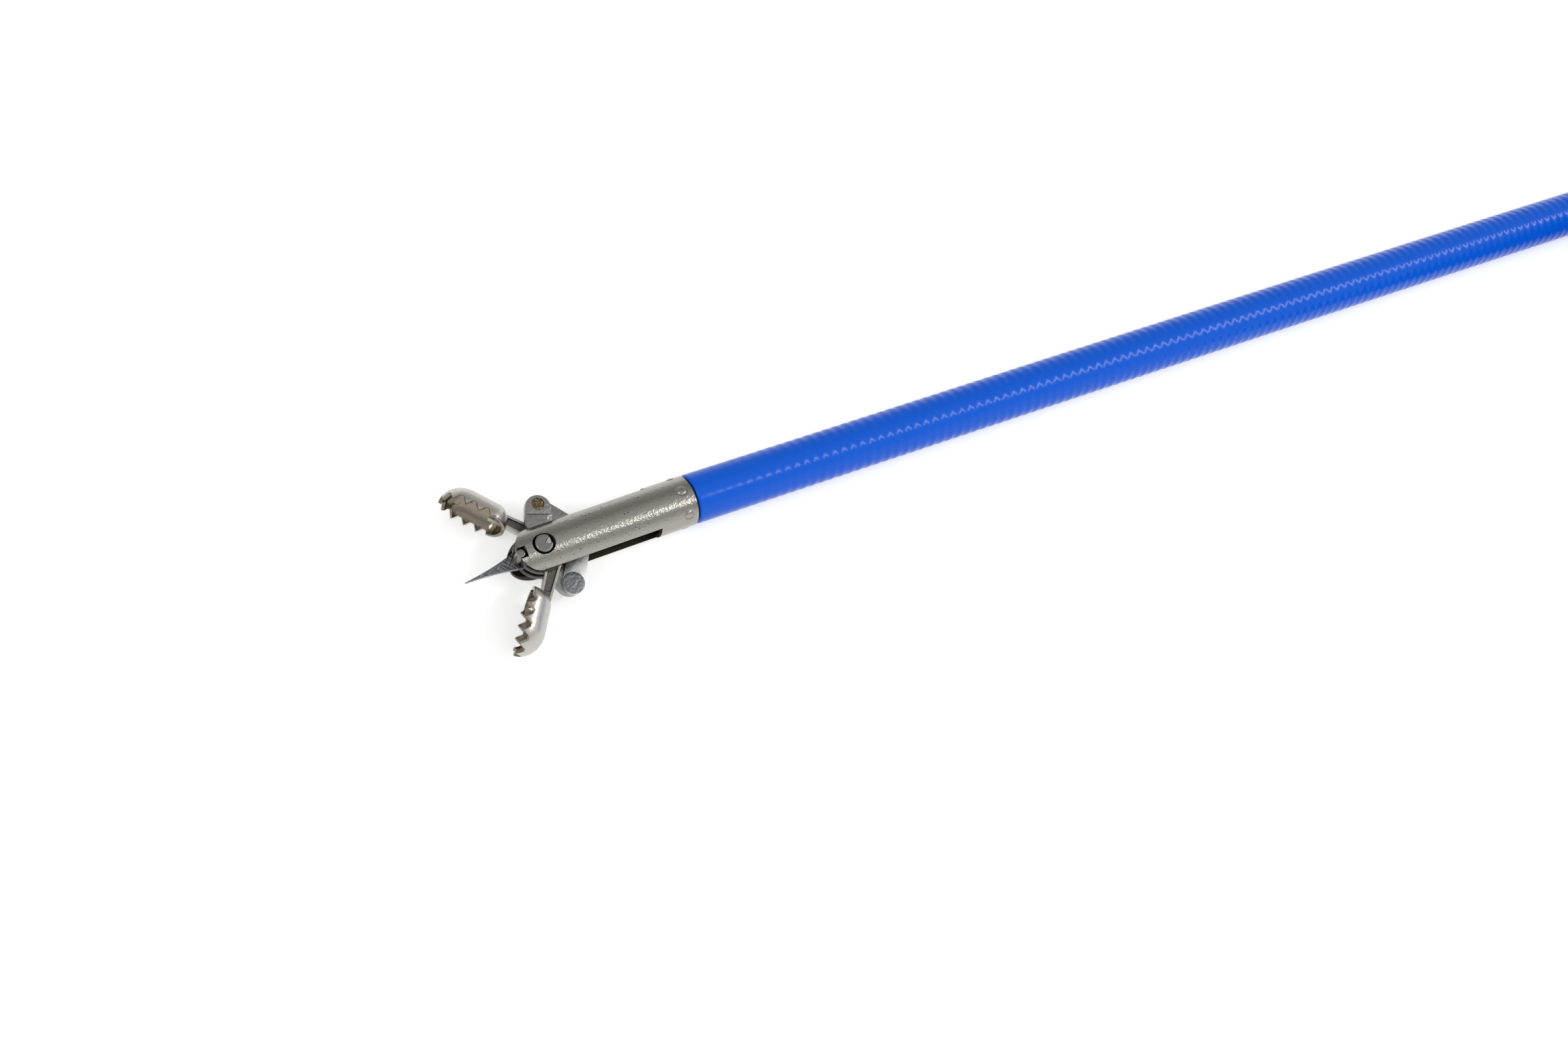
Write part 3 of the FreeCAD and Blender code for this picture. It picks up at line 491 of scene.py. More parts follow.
def sleeve_shape():
    """Tube wall on a grid of stations along X and angles from +Z: y = r sin a, z = r cos a.

    The stations are closest near the pivot and the welds. The front is pushed back by front_edge.
    Cells in the side slots, the pin's notch and the pivot holes are left out, and the points round
    each hole are moved onto its edge. Weld spots raise r. The bore's points keep their y near the
    top, and meet the slot's edges at the same height.
    """
    pin = polar(LOCATING_X, SPIKE_LEAN)
    angle = np.radians(np.arange(AROUND_SLEEVE) * 360 / AROUND_SLEEVE)
    for side in (-NOTCH_HALF, NOTCH_HALF):
        wanted = math.asin((pin[1] + side) / SLEEVE_R) % (2 * math.pi)
        angle[np.argmin(np.abs(angle - wanted))] = wanted
    notch_rear = pin[0] + NOTCH_BEHIND_PIN
    stations = np.concatenate([
        np.linspace(SLEEVE_FRONT, notch_rear, 11)[:-1], np.linspace(notch_rear, 0.8, 48)[:-1],
        np.linspace(0.8, SLOT_REAR, 50)[:-1], np.linspace(SLOT_REAR, 6.5, 18)[:-1],
        np.linspace(6.5, SLEEVE_REAR, 30)])
    x, a = np.meshgrid(stations, angle, indexing="ij")
    y = SLEEVE_R * np.sin(a)
    fade = np.clip(1 - (x - SLEEVE_FRONT) / FRONT_FADE, 0, 1)
    x = x + front_edge(y) * fade
    top = np.cos(a) > 0
    next_a = np.roll(np.arange(AROUND_SLEEVE), -1)

    def centre(values):
        return (values[:-1] + values[1:] + values[:-1][:, next_a] + values[1:][:, next_a]) / 4

    cell_x, cell_y = centre(x), centre(y)
    cell_station = (stations[:-1] + stations[1:])[:, None] / 2
    cell_a = (angle + np.append(angle[1:], 2 * math.pi)) / 2
    slot = (np.abs(np.cos(cell_a)) < SLOT_HALF / SLEEVE_R)[None, :] & (cell_station < SLOT_REAR)
    hole = np.hypot(cell_x, cell_y) < pivot_hole(np.arctan2(cell_y, cell_x))
    notch = (cell_station < notch_rear) & (np.cos(cell_a) > 0)[None, :]
    notch &= (np.abs(SLEEVE_R * np.sin(cell_a) - pin[1]) < NOTCH_HALF)[None, :]
    keep = ~(slot | hole | notch)

    touches_hole = np.zeros(x.shape, bool)
    touches_kept = np.zeros(x.shape, bool)
    for target, source in ((touches_hole, hole), (touches_kept, keep)):
        target[:-1] |= source
        target[1:] |= source
        target[:-1][:, next_a] |= source
        target[1:][:, next_a] |= source
    rim = touches_hole & touches_kept
    direction = np.arctan2(y, x)
    x = np.where(rim, pivot_hole(direction) * np.cos(direction), x)
    y = np.where(rim, pivot_hole(direction) * np.sin(direction), y)
    side = np.where(top, 1.0, -1.0)
    a = np.where(rim, np.arctan2(y / SLEEVE_R, side * np.sqrt(np.maximum(1 - (y / SLEEVE_R) ** 2, 0))), a)

    r = SLEEVE_R + weld_lift(x, a)
    outer = xyz(x, r * np.sin(a), r * np.cos(a))
    bore = SLEEVE_R - SLEEVE_WALL
    slot_y = math.sqrt(SLEEVE_R ** 2 - SLOT_HALF ** 2)
    bore_y = math.sqrt(bore ** 2 - SLOT_HALF ** 2)
    within = np.interp(np.abs(y), [0, BORE_SAME_Y, slot_y, SLEEVE_R], [0, BORE_SAME_Y, bore_y, bore])
    inner = xyz(x, np.sign(np.sin(a)) * within,
                np.sign(np.cos(a)) * np.sqrt(np.maximum(bore ** 2 - within ** 2, 0)))
    cells = quads(*x.shape, wrap_columns=True)[keep.reshape(-1)]
    return walled(outer.reshape(-1, 3), inner.reshape(-1, 3), cells)


def weld_lift(x, a):
    """How far the weld spots raise the tube: half an ellipse in a narrow sunk ring, by the way to the nearest."""
    spots = np.radians(WELD_TURN + 360.0 / WELD_COUNT * np.arange(WELD_COUNT))
    turn = np.abs((a[..., None] - spots + math.pi) % (2 * math.pi) - math.pi).min(axis=-1)
    away = np.hypot(x - WELD_X, turn * SLEEVE_R)
    dome = WELD_RISE * np.sqrt(np.clip(1 - (away / WELD_R) ** 2, 0, 1))
    return dome - WELD_RING_SINK * np.exp(-((away - WELD_RING_R) / WELD_RING_WIDTH) ** 2)


def walled(outer, inner, cells):
    """Two matching sheets of four-cornered faces and the rim between their open edges.

    An edge is open where no other face runs along it the other way.
    """
    count = len(outer)
    start = cells.ravel()
    end = np.roll(cells, -1, axis=1).ravel()
    open_edge = ~np.isin(start * count + end, end * count + start)
    a, b = start[open_edge], end[open_edge]
    rim = np.stack([b, a, a + count, b + count], axis=1)
    faces = np.concatenate([cells, cells[:, ::-1] + count, rim])
    return np.concatenate([outer, inner]), faces.tolist()


def sleeve_shaded(shape):
    """Which faces of the sleeve's walled shape lie inside the outer skin: the bore and the cut faces, which get
    painted shade.
    """
    points = shape[0][np.array(shape[1])].mean(axis=1)
    return np.hypot(points[:, 1], points[:, 2]) < SLEEVE_R - 0.06


def countersink_shape():
    """The two sunk rings round the pivot: from the hole's edge on the tube down to the pin's clearance."""
    turn = around(96)
    edge = pivot_hole(turn) + SKIN_GAP
    surface = np.sqrt(SLEEVE_R ** 2 - (edge * np.sin(turn)) ** 2) - SKIN_GAP
    rings = []
    for share, depth in ((1.0, 0.0), (0.5, 0.0), (0.0, 0.0), (0.0, SINK_DEPTH)):
        radius = SINK_R + (edge - SINK_R) * share
        z = SINK_Z + (surface - SINK_Z) * share - depth
        rings.append(xyz(radius * np.cos(turn), radius * np.sin(turn), z))
    points = np.stack(rings, axis=1)
    return joined(grid(points, wrap_rows=True), grid(points * HALF_TURN, wrap_rows=True))


# Jaws

def tooth_edge(travel):
    """Height of the rim at this travel round it: straight flanks up to a flat at each gap's middle."""
    away = np.abs((travel / TOOTH_PITCH - 0.25 + 0.5) % 1.0 - 0.5) * TOOTH_PITCH
    top = TOOTH_HALF + TOOTH_CLEAR
    slope = (TOOTH_PITCH / 2 + TOOTH_CLEAR - TOOTH_FLAT / 2) / (TOOTH_HALF + top)
    return top - np.maximum(away - TOOTH_FLAT / 2, 0) / slope


def cup_shape():
    """Cup on a grid of travel round its rim and angle from rim to keel.

    A point is its centre plus the rim's reach times cos(angle), at depth times sin(angle). The
    centre is the nose's for the front half circle, slides back along the straight sides, and is the
    rear's for the half ellipse. The inner wall is the same with every reach less by the wall.
    """
    front_x = CUP_TIP + CUP_HALF
    rear_x = CUP_REAR - CUP_REAR_LENGTH
    middle = CUP_HALF - CUP_WALL / 2
    quarter = middle * math.pi / 2
    limit = quarter + rear_x - front_x
    teeth = (np.arange(-6, 7)[:, None] + 0.25) * TOOTH_PITCH
    within = np.array([-0.3, -0.25, -0.2, -0.14, -0.08, 0.0, 0.08, 0.14, 0.2, 0.25])
    marks = (teeth + within[None, :]).ravel()
    marks = np.concatenate([marks, -marks, [limit, -limit, quarter, -quarter]])
    travel = np.unique(np.round(marks[np.abs(marks) <= limit + 1e-9], 5))
    gap_edges = np.array([-SPIKE_GAP - 0.01, -SPIKE_GAP, SPIKE_GAP, SPIKE_GAP + 0.01])
    behind = np.concatenate([np.linspace(0, math.pi / 2, 15), np.arccos(gap_edges)])
    behind = np.unique(np.round(np.concatenate([behind, math.pi - behind]), 6))[1:-1]

    bend = np.clip(travel, -quarter, quarter) / middle
    centre_x = front_x + np.maximum(np.abs(travel) - quarter, 0)
    reach = np.stack([-np.cos(bend), np.sin(bend)], axis=-1)
    height = tooth_edge(travel)
    centre_x = np.concatenate([centre_x, np.full(len(behind), rear_x)])
    reach = np.concatenate([reach, np.stack([np.sin(behind), np.cos(behind)], axis=-1)])
    at_rear = np.arange(len(centre_x)) >= len(travel)
    in_gap = np.abs(np.cos(behind)) < SPIKE_GAP + 0.005
    height = np.concatenate([height, np.where(in_gap, SPIKE_GAP_TOP, TOOTH_CLEAR / 2)])

    def wall(inset, share):
        half = CUP_HALF - inset
        length = np.where(at_rear, CUP_REAR_LENGTH - inset, half)
        depth = CUP_DEPTH - inset
        start = np.arcsin(height / depth)[:, None]
        angle = start + (math.pi / 2 - start) * share[None, :]
        x = centre_x[:, None] + reach[:, :1] * length[:, None] * np.cos(angle)
        z = reach[:, 1:] * half * np.cos(angle)
        return xyz(x, depth * np.sin(angle), z)

    share = np.linspace(0, 1, CUP_STEPS) ** 1.15
    outer = wall(0.0, share)
    inner = wall(CUP_WALL, share)
    return grid(np.concatenate([outer[:, ::-1], inner], axis=1), wrap_rows=True)


def cup_shaded(shape):
    """Which faces of the cup's grid get painted shade: its inner wall, and a band close to the rim outside."""
    column = np.arange(len(shape[1])) % (2 * CUP_STEPS - 1)
    return column > CUP_STEPS - 3


def arm_shaded(shape):
    """Which faces of the arm lie in its channels, where shade is painted."""
    face = np.arange(len(shape[1]))
    return np.isin(face % 12, (1, 2, 3, 7, 8, 9)) & (face < len(face) - 2)


def hub_shaded(shape):
    """Which faces of the hub and tail lie on the hub, away from the tail: these get painted shade."""
    points = shape[0][np.array(shape[1])]
    along = points[..., :2] @ polar(1.0, -TAIL_ANGLE)
    return along.max(axis=1) < HUB_R


def no_shade_finish(shape):
    """No face at all."""
    return np.zeros(len(shape[1]), bool)


def arm_shape():
    """Arm from the cup to the hub: a channel section with raised rims on both faces, carried along X."""
    step = 0.03
    x = np.concatenate([[ARM_FRONT, -2.3, POCKET_FRONT - step],
                        np.linspace(POCKET_FRONT + step, POCKET_REAR - step, 12), [POCKET_REAR + step, ARM_REAR]])
    low = ARM_LOW
    high = ARM_HIGH + ARM_SLANT * np.clip((x - ARM_FRONT) / 2.42, 0, 1)
    pocket = np.where((x > POCKET_FRONT) & (x < POCKET_REAR), ARM_POCKET, 0.0)
    z0, z1 = -PLATE_OUTER + SKIN_GAP, -PLATE_INNER - SKIN_GAP
    rim, slope = ARM_RIM, ARM_RIM_SLOPE
    ring = [(low, z0), (low + rim, z0), (low + rim + slope, z0 + pocket),
            (high - rim - slope, z0 + pocket), (high - rim, z0), (high, z0),
            (high, z1), (high - rim, z1), (high - rim - slope, z1 - pocket),
            (low + rim + slope, z1 - pocket), (low + rim, z1), (low, z1)]
    return capped(np.stack([xyz(x, y, z) for y, z in ring], axis=1))


def hull_radius(angle, circles):
    """Distance from the origin, in each direction, to the hull of circles round it.

    The smallest over all edge directions n of support(n) / cos(angle - n).
    """
    edge = around(1440)
    support = np.max([cx * np.cos(edge) + cy * np.sin(edge) + r for cx, cy, r in circles], axis=0)
    turn = np.cos(angle[:, None] - edge[None, :])
    return np.where(turn > 1e-3, support[None, :] / np.maximum(turn, 1e-3), 1e9).min(axis=1)


def plate(angle, radius, low, high, centre=(0.0, 0.0), inner=0.0, edge=0.02):
    """A flat plate: a section with rounded corners carried round an outline given as radius by angle."""
    columns = [(inner, low)]
    corner = np.radians([0, 30, 60, 90])
    for t in corner:
        columns.append((radius - edge + edge * math.sin(t), low + edge - edge * math.cos(t)))
    for t in corner[::-1]:
        columns.append((radius - edge + edge * math.sin(t), high - edge + edge * math.cos(t)))
    columns.append((inner, high))
    points = np.stack([xyz(centre[0] + r * np.cos(angle), centre[1] + r * np.sin(angle), z)
                       for r, z in columns], axis=1)
    return grid(points, wrap_rows=True, wrap_columns=inner > 0)


def tail_shape():
    """Hub disc and tail in one outline: the farther of the disc's edge and the tail's two-circle hull.

    The corner between them is filled over the short stretch in which one takes over from the other.
    """
    angle = around(256)
    end = polar(TAIL_ARM - TAIL_END_INSET, -TAIL_ANGLE)
    tail = hull_radius(angle, [(0.0, 0.0, TAIL_ROOT_R), (end[0], end[1], TAIL_END_R)])
    share = np.clip(0.5 + (tail - HUB_R) / (2 * TAIL_FILLET), 0, 1)
    radius = HUB_R + (tail - HUB_R) * share + TAIL_FILLET * share * (1 - share)
    return plate(angle, radius, -PLATE_OUTER, -PLATE_INNER, inner=HUB_HOLE_R)


def pad_shape():
    """Raised pad round the tail's rivet, with the rivet's hole."""
    angle = around(96)
    centre = polar(TAIL_ARM, -TAIL_ANGLE)
    end = polar(TAIL_ARM - TAIL_END_INSET, -TAIL_ANGLE)
    start = end * 0.8
    circles = [(*(end - centre), TAIL_END_R), (*(start - centre), TAIL_END_R)]
    inward = np.cos(angle - math.radians(180 - TAIL_ANGLE))
    radius = np.minimum(hull_radius(angle, circles), PAD_STEP / np.maximum(inward, 0.05))
    return plate(angle, radius, -PAD_OUTER, -PLATE_OUTER + 0.03, centre, inner=RIVET_HOLE_R)


# Rivets, links, pins and spike

def rivet_head_shape():
    """Head over the link: a flat dome with a rounded edge, turned about the tail's end."""
    t = np.radians(np.linspace(0, 90, 6))
    half, soft = RIVET_HEAD_H / 2, 0.06
    profile = [(0.0, 0.0), (0.0, RIVET_HEAD_R - 0.01)]
    profile += [(half - half * math.cos(v), RIVET_HEAD_R - half + half * math.sin(v)) for v in t[1:]]
    profile += [(half + 0.04 * math.sin(v), RIVET_HEAD_R - soft + soft * math.cos(v)) for v in t[1:]]
    profile += [(RIVET_HEAD_H - 0.003, 0.3), (RIVET_HEAD_H, 0.12), (RIVET_HEAD_H, 0.0)]
    points = turned(profile)
    points[..., :2] += polar(TAIL_ARM, -TAIL_ANGLE)
    return grid(points, wrap_rows=True)


def rivet_end_shape():
    """Spread end in the tail's recess: a rough shallow crown on the shank."""
    profile = [(-0.45, 0.0), (-0.45, RIVET_END_R), (-0.5, RIVET_END_R), (-0.525, 0.262), (-0.532, 0.22),
               (-0.528, 0.12), (-0.52, 0.0)]
    points = turned(profile, 48)
    angle = around(48)[:, None]
    points[..., 2] += 0.008 * np.sin(3 * angle + 4) * (points[..., 2] < -0.5) * np.cos(5 * angle)
    points[..., :2] += polar(TAIL_ARM, -TAIL_ANGLE)
    return grid(points, wrap_rows=True)


def crosshead_x(tail_angle):
    """Where the links meet on the axis: the tail's reach along X plus the link's."""
    reach, drop = polar(TAIL_ARM, tail_angle)
    return reach + math.sqrt(LINK_LENGTH ** 2 - drop ** 2)


def link_shape():
    """Link with the jaws open: the hull of its two round ends, drawn round its middle."""
    tail = polar(TAIL_ARM, -TAIL_ANGLE - OPEN_ANGLE)
    rear = np.array([crosshead_x(TAIL_ANGLE + OPEN_ANGLE), 0.0])
    centre = (tail + rear) / 2
    angle = around(192)
    circles = [(*(tail - centre), LINK_TAIL_R), (*(rear - centre), LINK_REAR_R)]
    return plate(angle, hull_radius(angle, circles), -LINK_OUTER, -LINK_INNER, centre, edge=0.018)


def pivot_shape():
    """Pivot rivet: a turned head with a chamfer at each end and a wedge-shaped nick near its edge."""
    half = PIVOT_TOP
    top = [(half - 0.045, PIVOT_R), (half - 0.03, 0.393), (half - 0.012, 0.375), (half, 0.35)]
    top += [(half + 0.001, r) for r in (0.32, 0.28, 0.24, 0.2, 0.16, 0.12, 0.08, 0.04, 0.0)]
    profile = [(-z, r) for z, r in top[::-1]] + top
    points = turned(profile, 128)
    x, y = points[..., 0], points[..., 1]
    along = polar(1.0, NICK_TURN)
    u = x * along[0] + y * along[1]
    v = -x * along[1] + y * along[0]
    wide = 0.05 + 0.16 * np.clip((u - NICK_START) / (PIVOT_R - NICK_START), 0, 1)
    inside = np.clip((u - NICK_START) / 0.05, 0, 1) * np.clip((wide - np.abs(v)) / 0.05, 0, 1)
    tilt = 0.35 + 0.65 * np.clip(0.5 - v / 0.24, 0, 1)
    points[..., 2] -= np.where(points[..., 2] > half - 0.06, NICK_DEPTH * inside * tilt, 0)
    return grid(points, wrap_rows=True)


def locating_pin_shape():
    """Small turned pin with a rounded top edge."""
    top = SLEEVE_R - 0.06
    profile = [(-0.12, 0.0), (-0.12, LOCATING_R), (top - 0.06, LOCATING_R), (top - 0.03, 0.193),
               (top - 0.01, 0.175), (top, 0.15), (top + 0.002, 0.08), (top, 0.0)]
    points = turned(profile, 48)
    points[..., 0] += LOCATING_X
    return grid(swing(points, SPIKE_LEAN), wrap_rows=True)


def spike_half_width(x):
    """Half width of the spike: an arc through tip, waist and base, then straight to the round hub."""
    tip, waist, base = np.array(SPIKE_TIP), np.array(SPIKE_WAIST), np.array(SPIKE_BASE)
    centre, radius = circle_through(tip, waist, base)
    blade = centre[1] - np.sqrt(np.maximum(radius ** 2 - (x - centre[0]) ** 2, 0))
    root = base[1] + (SPIKE_ROOT_R - base[1]) * np.clip(1 - x / base[0], 0, 1)
    end = np.sqrt(np.maximum(SPIKE_ROOT_R ** 2 - np.maximum(x, 0) ** 2, 1e-6))
    nose = np.sqrt(np.maximum(SPIKE_NOSE ** 2 - np.minimum(x - tip[0], 0) ** 2, 1e-8)) * tip[1] / SPIKE_NOSE
    width = np.where(x < base[0], blade, np.where(x < 0, root, end))
    return np.where(x < tip[0], nose, width)


def spike_shape():
    """Flat blade: an eight-cornered section with small chamfers, scaled to the half width along X."""
    tip, base = SPIKE_TIP[0], SPIKE_BASE[0]
    x = np.concatenate([tip - np.array([0.029, 0.02, 0.01]), np.linspace(tip, base, 44),
                        np.linspace(0.8 * base, 0, 6),
                        SPIKE_ROOT_R * np.sin(np.linspace(0.2, 0.5 * math.pi - 0.02, 8))])
    half = spike_half_width(x)
    flat = np.maximum(half - SPIKE_CHAMFER, half * 0.4)
    z = SPIKE_HALF * np.clip(0.45 + (x - tip + SPIKE_NOSE) / 0.7, 0.45, 1)
    low = np.maximum(z - SPIKE_CHAMFER, z * 0.4)
    ring = [(-flat, z), (flat, z), (half, low), (half, -low),
            (flat, -z), (-flat, -z), (-half, -low), (-half, low)]
    return capped(swing(np.stack([xyz(x, y, h) for y, h in ring], axis=1), SPIKE_LEAN))


# Sheath

def route_points():
    """The sheath's control points, in millimetres, from the sleeve to the strain relief.

    The coil is wound in layers: flat turns whose radius goes in on one layer and out on the next,
    then half a turn that climbs. The control points lie outside the curve that they draw, by the
    cosine of half their step. After the coil come the rising bend and the straight entry.
    """
    total = np.arange(0, COIL_TURNS + 1e-9, 1 / POINTS_PER_TURN)
    layer = np.minimum(np.floor(total / LAYER_TURNS), LAYERS - 1)
    within = total - LAYER_TURNS * layer
    sweep = np.clip(within / FLAT_TURNS, 0, 1)
    sweep = np.where(layer % 2 == 1, 1 - sweep, sweep)
    radius = (COIL_OUTER + (COIL_INNER - COIL_OUTER) * sweep) / math.cos(math.pi / POINTS_PER_TURN)
    rise = np.clip((within - FLAT_TURNS) / (LAYER_TURNS - FLAT_TURNS), 0, 1)
    rise = rise * rise * (3 - 2 * rise)
    height = TURN_PITCH * (layer + rise) + LEAVE_RISE * np.clip((total - LEAVE_TURN) / 0.3, 0, 1) ** 2
    angle = math.pi / 2 - 2 * math.pi * total
    coil = xyz(COIL_CENTRE[0] + radius * np.cos(angle), COIL_CENTRE[1] + radius * np.sin(angle), height)
    tail = np.array([(*(TAIL_BEND_CENTRE + polar(TAIL_BEND, turn)), z) for turn, z in TAIL_POINTS])
    straight = np.array([[SHEATH_START, 0.0, 0.0], STRAIGHT_END])
    back, up = polar(ENTRY_LENGTH, HANDLE_TILT)
    entry = np.array([[RELIEF_NOSE[0] - back, RELIEF_NOSE[1], RELIEF_NOSE[2] + up], RELIEF_NOSE])
    return np.concatenate([straight, coil[1:], tail, entry])


def spline_points(route):
    """Points along the smooth NURBS line of the route, in metres."""
    curve = bpy.data.curves.new("sheath_route", "CURVE")
    curve.dimensions = "3D"
    curve.resolution_u = 6
    spline = curve.splines.new("NURBS")
    spline.points.add(len(route) - 1)
    flat = np.concatenate([route * MM, np.ones((len(route), 1))], axis=1)
    spline.points.foreach_set("co", flat.ravel())
    spline.order_u = 3
    spline.use_endpoint_u = True
    holder = bpy.data.objects.new("sheath_route", curve)
    mesh = bpy.data.meshes.new_from_object(holder)
    points = np.empty(len(mesh.vertices) * 3)
    mesh.vertices.foreach_get("co", points)
    bpy.data.objects.remove(holder)
    bpy.data.curves.remove(curve)
    bpy.data.meshes.remove(mesh)
    return points.reshape(-1, 3)


def jacket_ridges(s):
    """Radius of the coating at this distance from its front: ridges over each spring turn, rounded front."""
    fade = np.clip((s - 0.9) / 5.0, 0, 1)
    wave = np.cos(2 * math.pi * s / RIDGE_PITCH)
    ahead = np.maximum(FRONT_ROUND - s, 0)
    front = np.sqrt(np.maximum(FRONT_ROUND ** 2 - ahead ** 2, 0)) - FRONT_ROUND
    return SHEATH_R - RIDGE_DEPTH * (0.1 + 0.9 * fade) * (1 - wave) / 2 + front


def tube_shape(path, corners=32):
    """A round tube along the path: each ring is its centre plus radius times (side cos a + up sin a).

    Rings are close together with real ridges on the straight stretch and wider apart after it.
    Returns the shape and, for every point, its travel in ridges and how much ridge is left to bump.
    """
    path = path / MM
    run = np.concatenate([[0], np.cumsum(np.linalg.norm(np.diff(path, axis=0), axis=1))])
    s = np.concatenate([[0, 0.01, 0.03, 0.06, 0.1], np.arange(FRONT_ROUND, RIDGES_END, RIDGE_PITCH / 8),
                        np.arange(RIDGES_END, run[-1], 1.25), [run[-1]]])

    def at(travel):
        return xyz(*(np.interp(travel, run, line) for line in path.T))

    heading = at(s + 0.6) - at(s - 0.6)
    heading = heading / np.linalg.norm(heading, axis=1)[:, None]
    up = np.array([0.0, 0.0, 1.0]) - heading[:, 2:] * heading
    up = up / np.linalg.norm(up, axis=1)[:, None]
    side = np.cross(up, heading)
    a = around(corners)[None, :, None]
    radius = np.where(s < RIDGES_END, jacket_ridges(s), SHEATH_R)[:, None, None]
    points = at(s)[:, None] + radius * (side[:, None] * np.cos(a) + up[:, None] * np.sin(a))
    travel = np.repeat(s / RIDGE_PITCH, corners)
    left = np.repeat(np.where(s < RIDGES_END - 1, 0.0, 1.0), corners)
    return capped(points), travel, left


# Settings

TINT = {"subtype": "COLOR", "size": 3, "min": 0, "max": 1}


class ForcepsColors(bpy.types.PropertyGroup):
    """Colours of the finishes."""
    sleeve: bpy.props.FloatVectorProperty(name="Sleeve", description="Blasted steel of the sleeve",
                                          default=(0.34, 0.325, 0.295), **TINT)
    cups: bpy.props.FloatVectorProperty(name="Cups", description="Satin steel of the jaws",
                                        default=(0.5, 0.48, 0.445), **TINT)
    jacket: bpy.props.FloatVectorProperty(name="Sheath", description="Blue coating of the sheath",
                                          default=(0.002, 0.105, 0.66), **TINT)
    handle: bpy.props.FloatVectorProperty(name="Handle", description="White moulding of the handle",
                                          default=(0.7, 0.7, 0.69), **TINT)


class ForcepsSizes(bpy.types.PropertyGroup):
    """Sizes of the stage and of small finishes."""
    edge: bpy.props.FloatProperty(name="Edge rounding", description="Rounding of the sleeve's and cups' edges",
                                  subtype="DISTANCE", unit="LENGTH", default=0.000014, min=0.0, precision=6)
    floor: bpy.props.FloatProperty(name="Floor", description="Width of the floor",
                                   subtype="DISTANCE", unit="LENGTH", default=6.0, min=0.5)


# Operators

FINISH = {}


def finish(name):
    """A finish by its name. All are made when the first one is asked for."""
    if not FINISH:
        FINISH.update(make_materials())
    return FINISH[name]


class FORCEPS_OT_sleeve(bpy.types.Operator):
    """Build the slotted steel sleeve with its weld spots and sunk pivot rings"""
    bl_idname = "forceps.sleeve"
    bl_label = "Sleeve"

    def execute(self, context):
        edge = context.scene.forceps_sizes.edge / MM
        shape = sleeve_shape()
        # The bore and the cut faces of the wall take the near-black painted shade
        make_object("sleeve_tube", shape, finish("sleeve"), "root", ["sleeve"], bevel=edge,
                    shade_finish=finish("inside"), shaded=sleeve_shaded(shape))
        # The sunk rings round the pivot are painted dark: painted shade
        make_object("pivot_countersink", countersink_shape(), finish("dark"), "root",
                    sharp=60)
        return {"FINISHED"}


class FORCEPS_OT_jaws(bpy.types.Operator):
    """Build both toothed cups with their arms, hubs and tails"""
    bl_idname = "forceps.jaws"
    bl_label = "Jaws"

    def execute(self, context):
        edge = context.scene.forceps_sizes.edge / MM
        cup, arm, tail, pad = cup_shape(), arm_shape(), tail_shape(), pad_shape()
        for name, place in (("upper", upper), ("lower", lower)):
            # Each piece's second finish is painted shade on the faces its mask marks.
            pieces = (
                ("cup_", cup, "cup", "cup_shade", cup_shaded, edge, ["jaw_" + name]),
                ("arm_", arm, "cup", "pocket", arm_shaded, 0.02, []),
                ("tail_", tail, "plate", "hub", hub_shaded, 0, []),
                ("pad_", pad, "plate", "plate", no_shade_finish, 0, []))
            for piece, shape, look, shade_finish, shaded, rounding, nodes in pieces:
                make_object(piece + name, (place(shape[0]), shape[1]), finish(look), name + "_jaw", nodes,
                            bevel=rounding, sharp=42, shade_finish=finish(shade_finish), shaded=shaded(shape))
        return {"FINISHED"}


class FORCEPS_OT_spike(bpy.types.Operator):
    """Build the flat spike and the pin that locates it"""
    bl_idname = "forceps.spike"
    bl_label = "Spike"

    def execute(self, context):
        make_object("spike_blade", spike_shape(), finish("spike"), "root", ["spike"], sharp=30)
        make_object("spike_pin", locating_pin_shape(), finish("pin"), "root", ["locating_pin"])
        return {"FINISHED"}


class FORCEPS_OT_linkage(bpy.types.Operator):
    """Build the pivot rivet, the tails' rivets and the links"""
    bl_idname = "forceps.linkage"
    bl_label = "Linkage"

    def execute(self, context):
        make_object("pivot_rivet", pivot_shape(), finish("pin"), "root", ["pivot_pin"], sharp=50)
        head, end, bar = rivet_head_shape(), rivet_end_shape(), link_shape()
        for name, place in (("upper", upper), ("lower", lower)):
            # Both links are one steel; one takes the darker plate steel as painted shade
            jaw, bar_look = name + "_jaw", "link" if name == "upper" else "plate"
            bar_place = swing(bar[0], LEAN, flip=name == "lower")
            make_object("rivet_head_" + name, (place(head[0]), head[1]), finish("rivet"), jaw, ["rivet_" + jaw],
                        sharp=50)
            make_object("rivet_end_" + name, (place(end[0]), end[1]), finish("rivet_end"), jaw, [],
                        sharp=50)
            make_object("link_bar_" + name, (bar_place, bar[1]), finish(bar_look), jaw + "_link",
                        ["link_" + jaw], sharp=60)
        return {"FINISHED"}


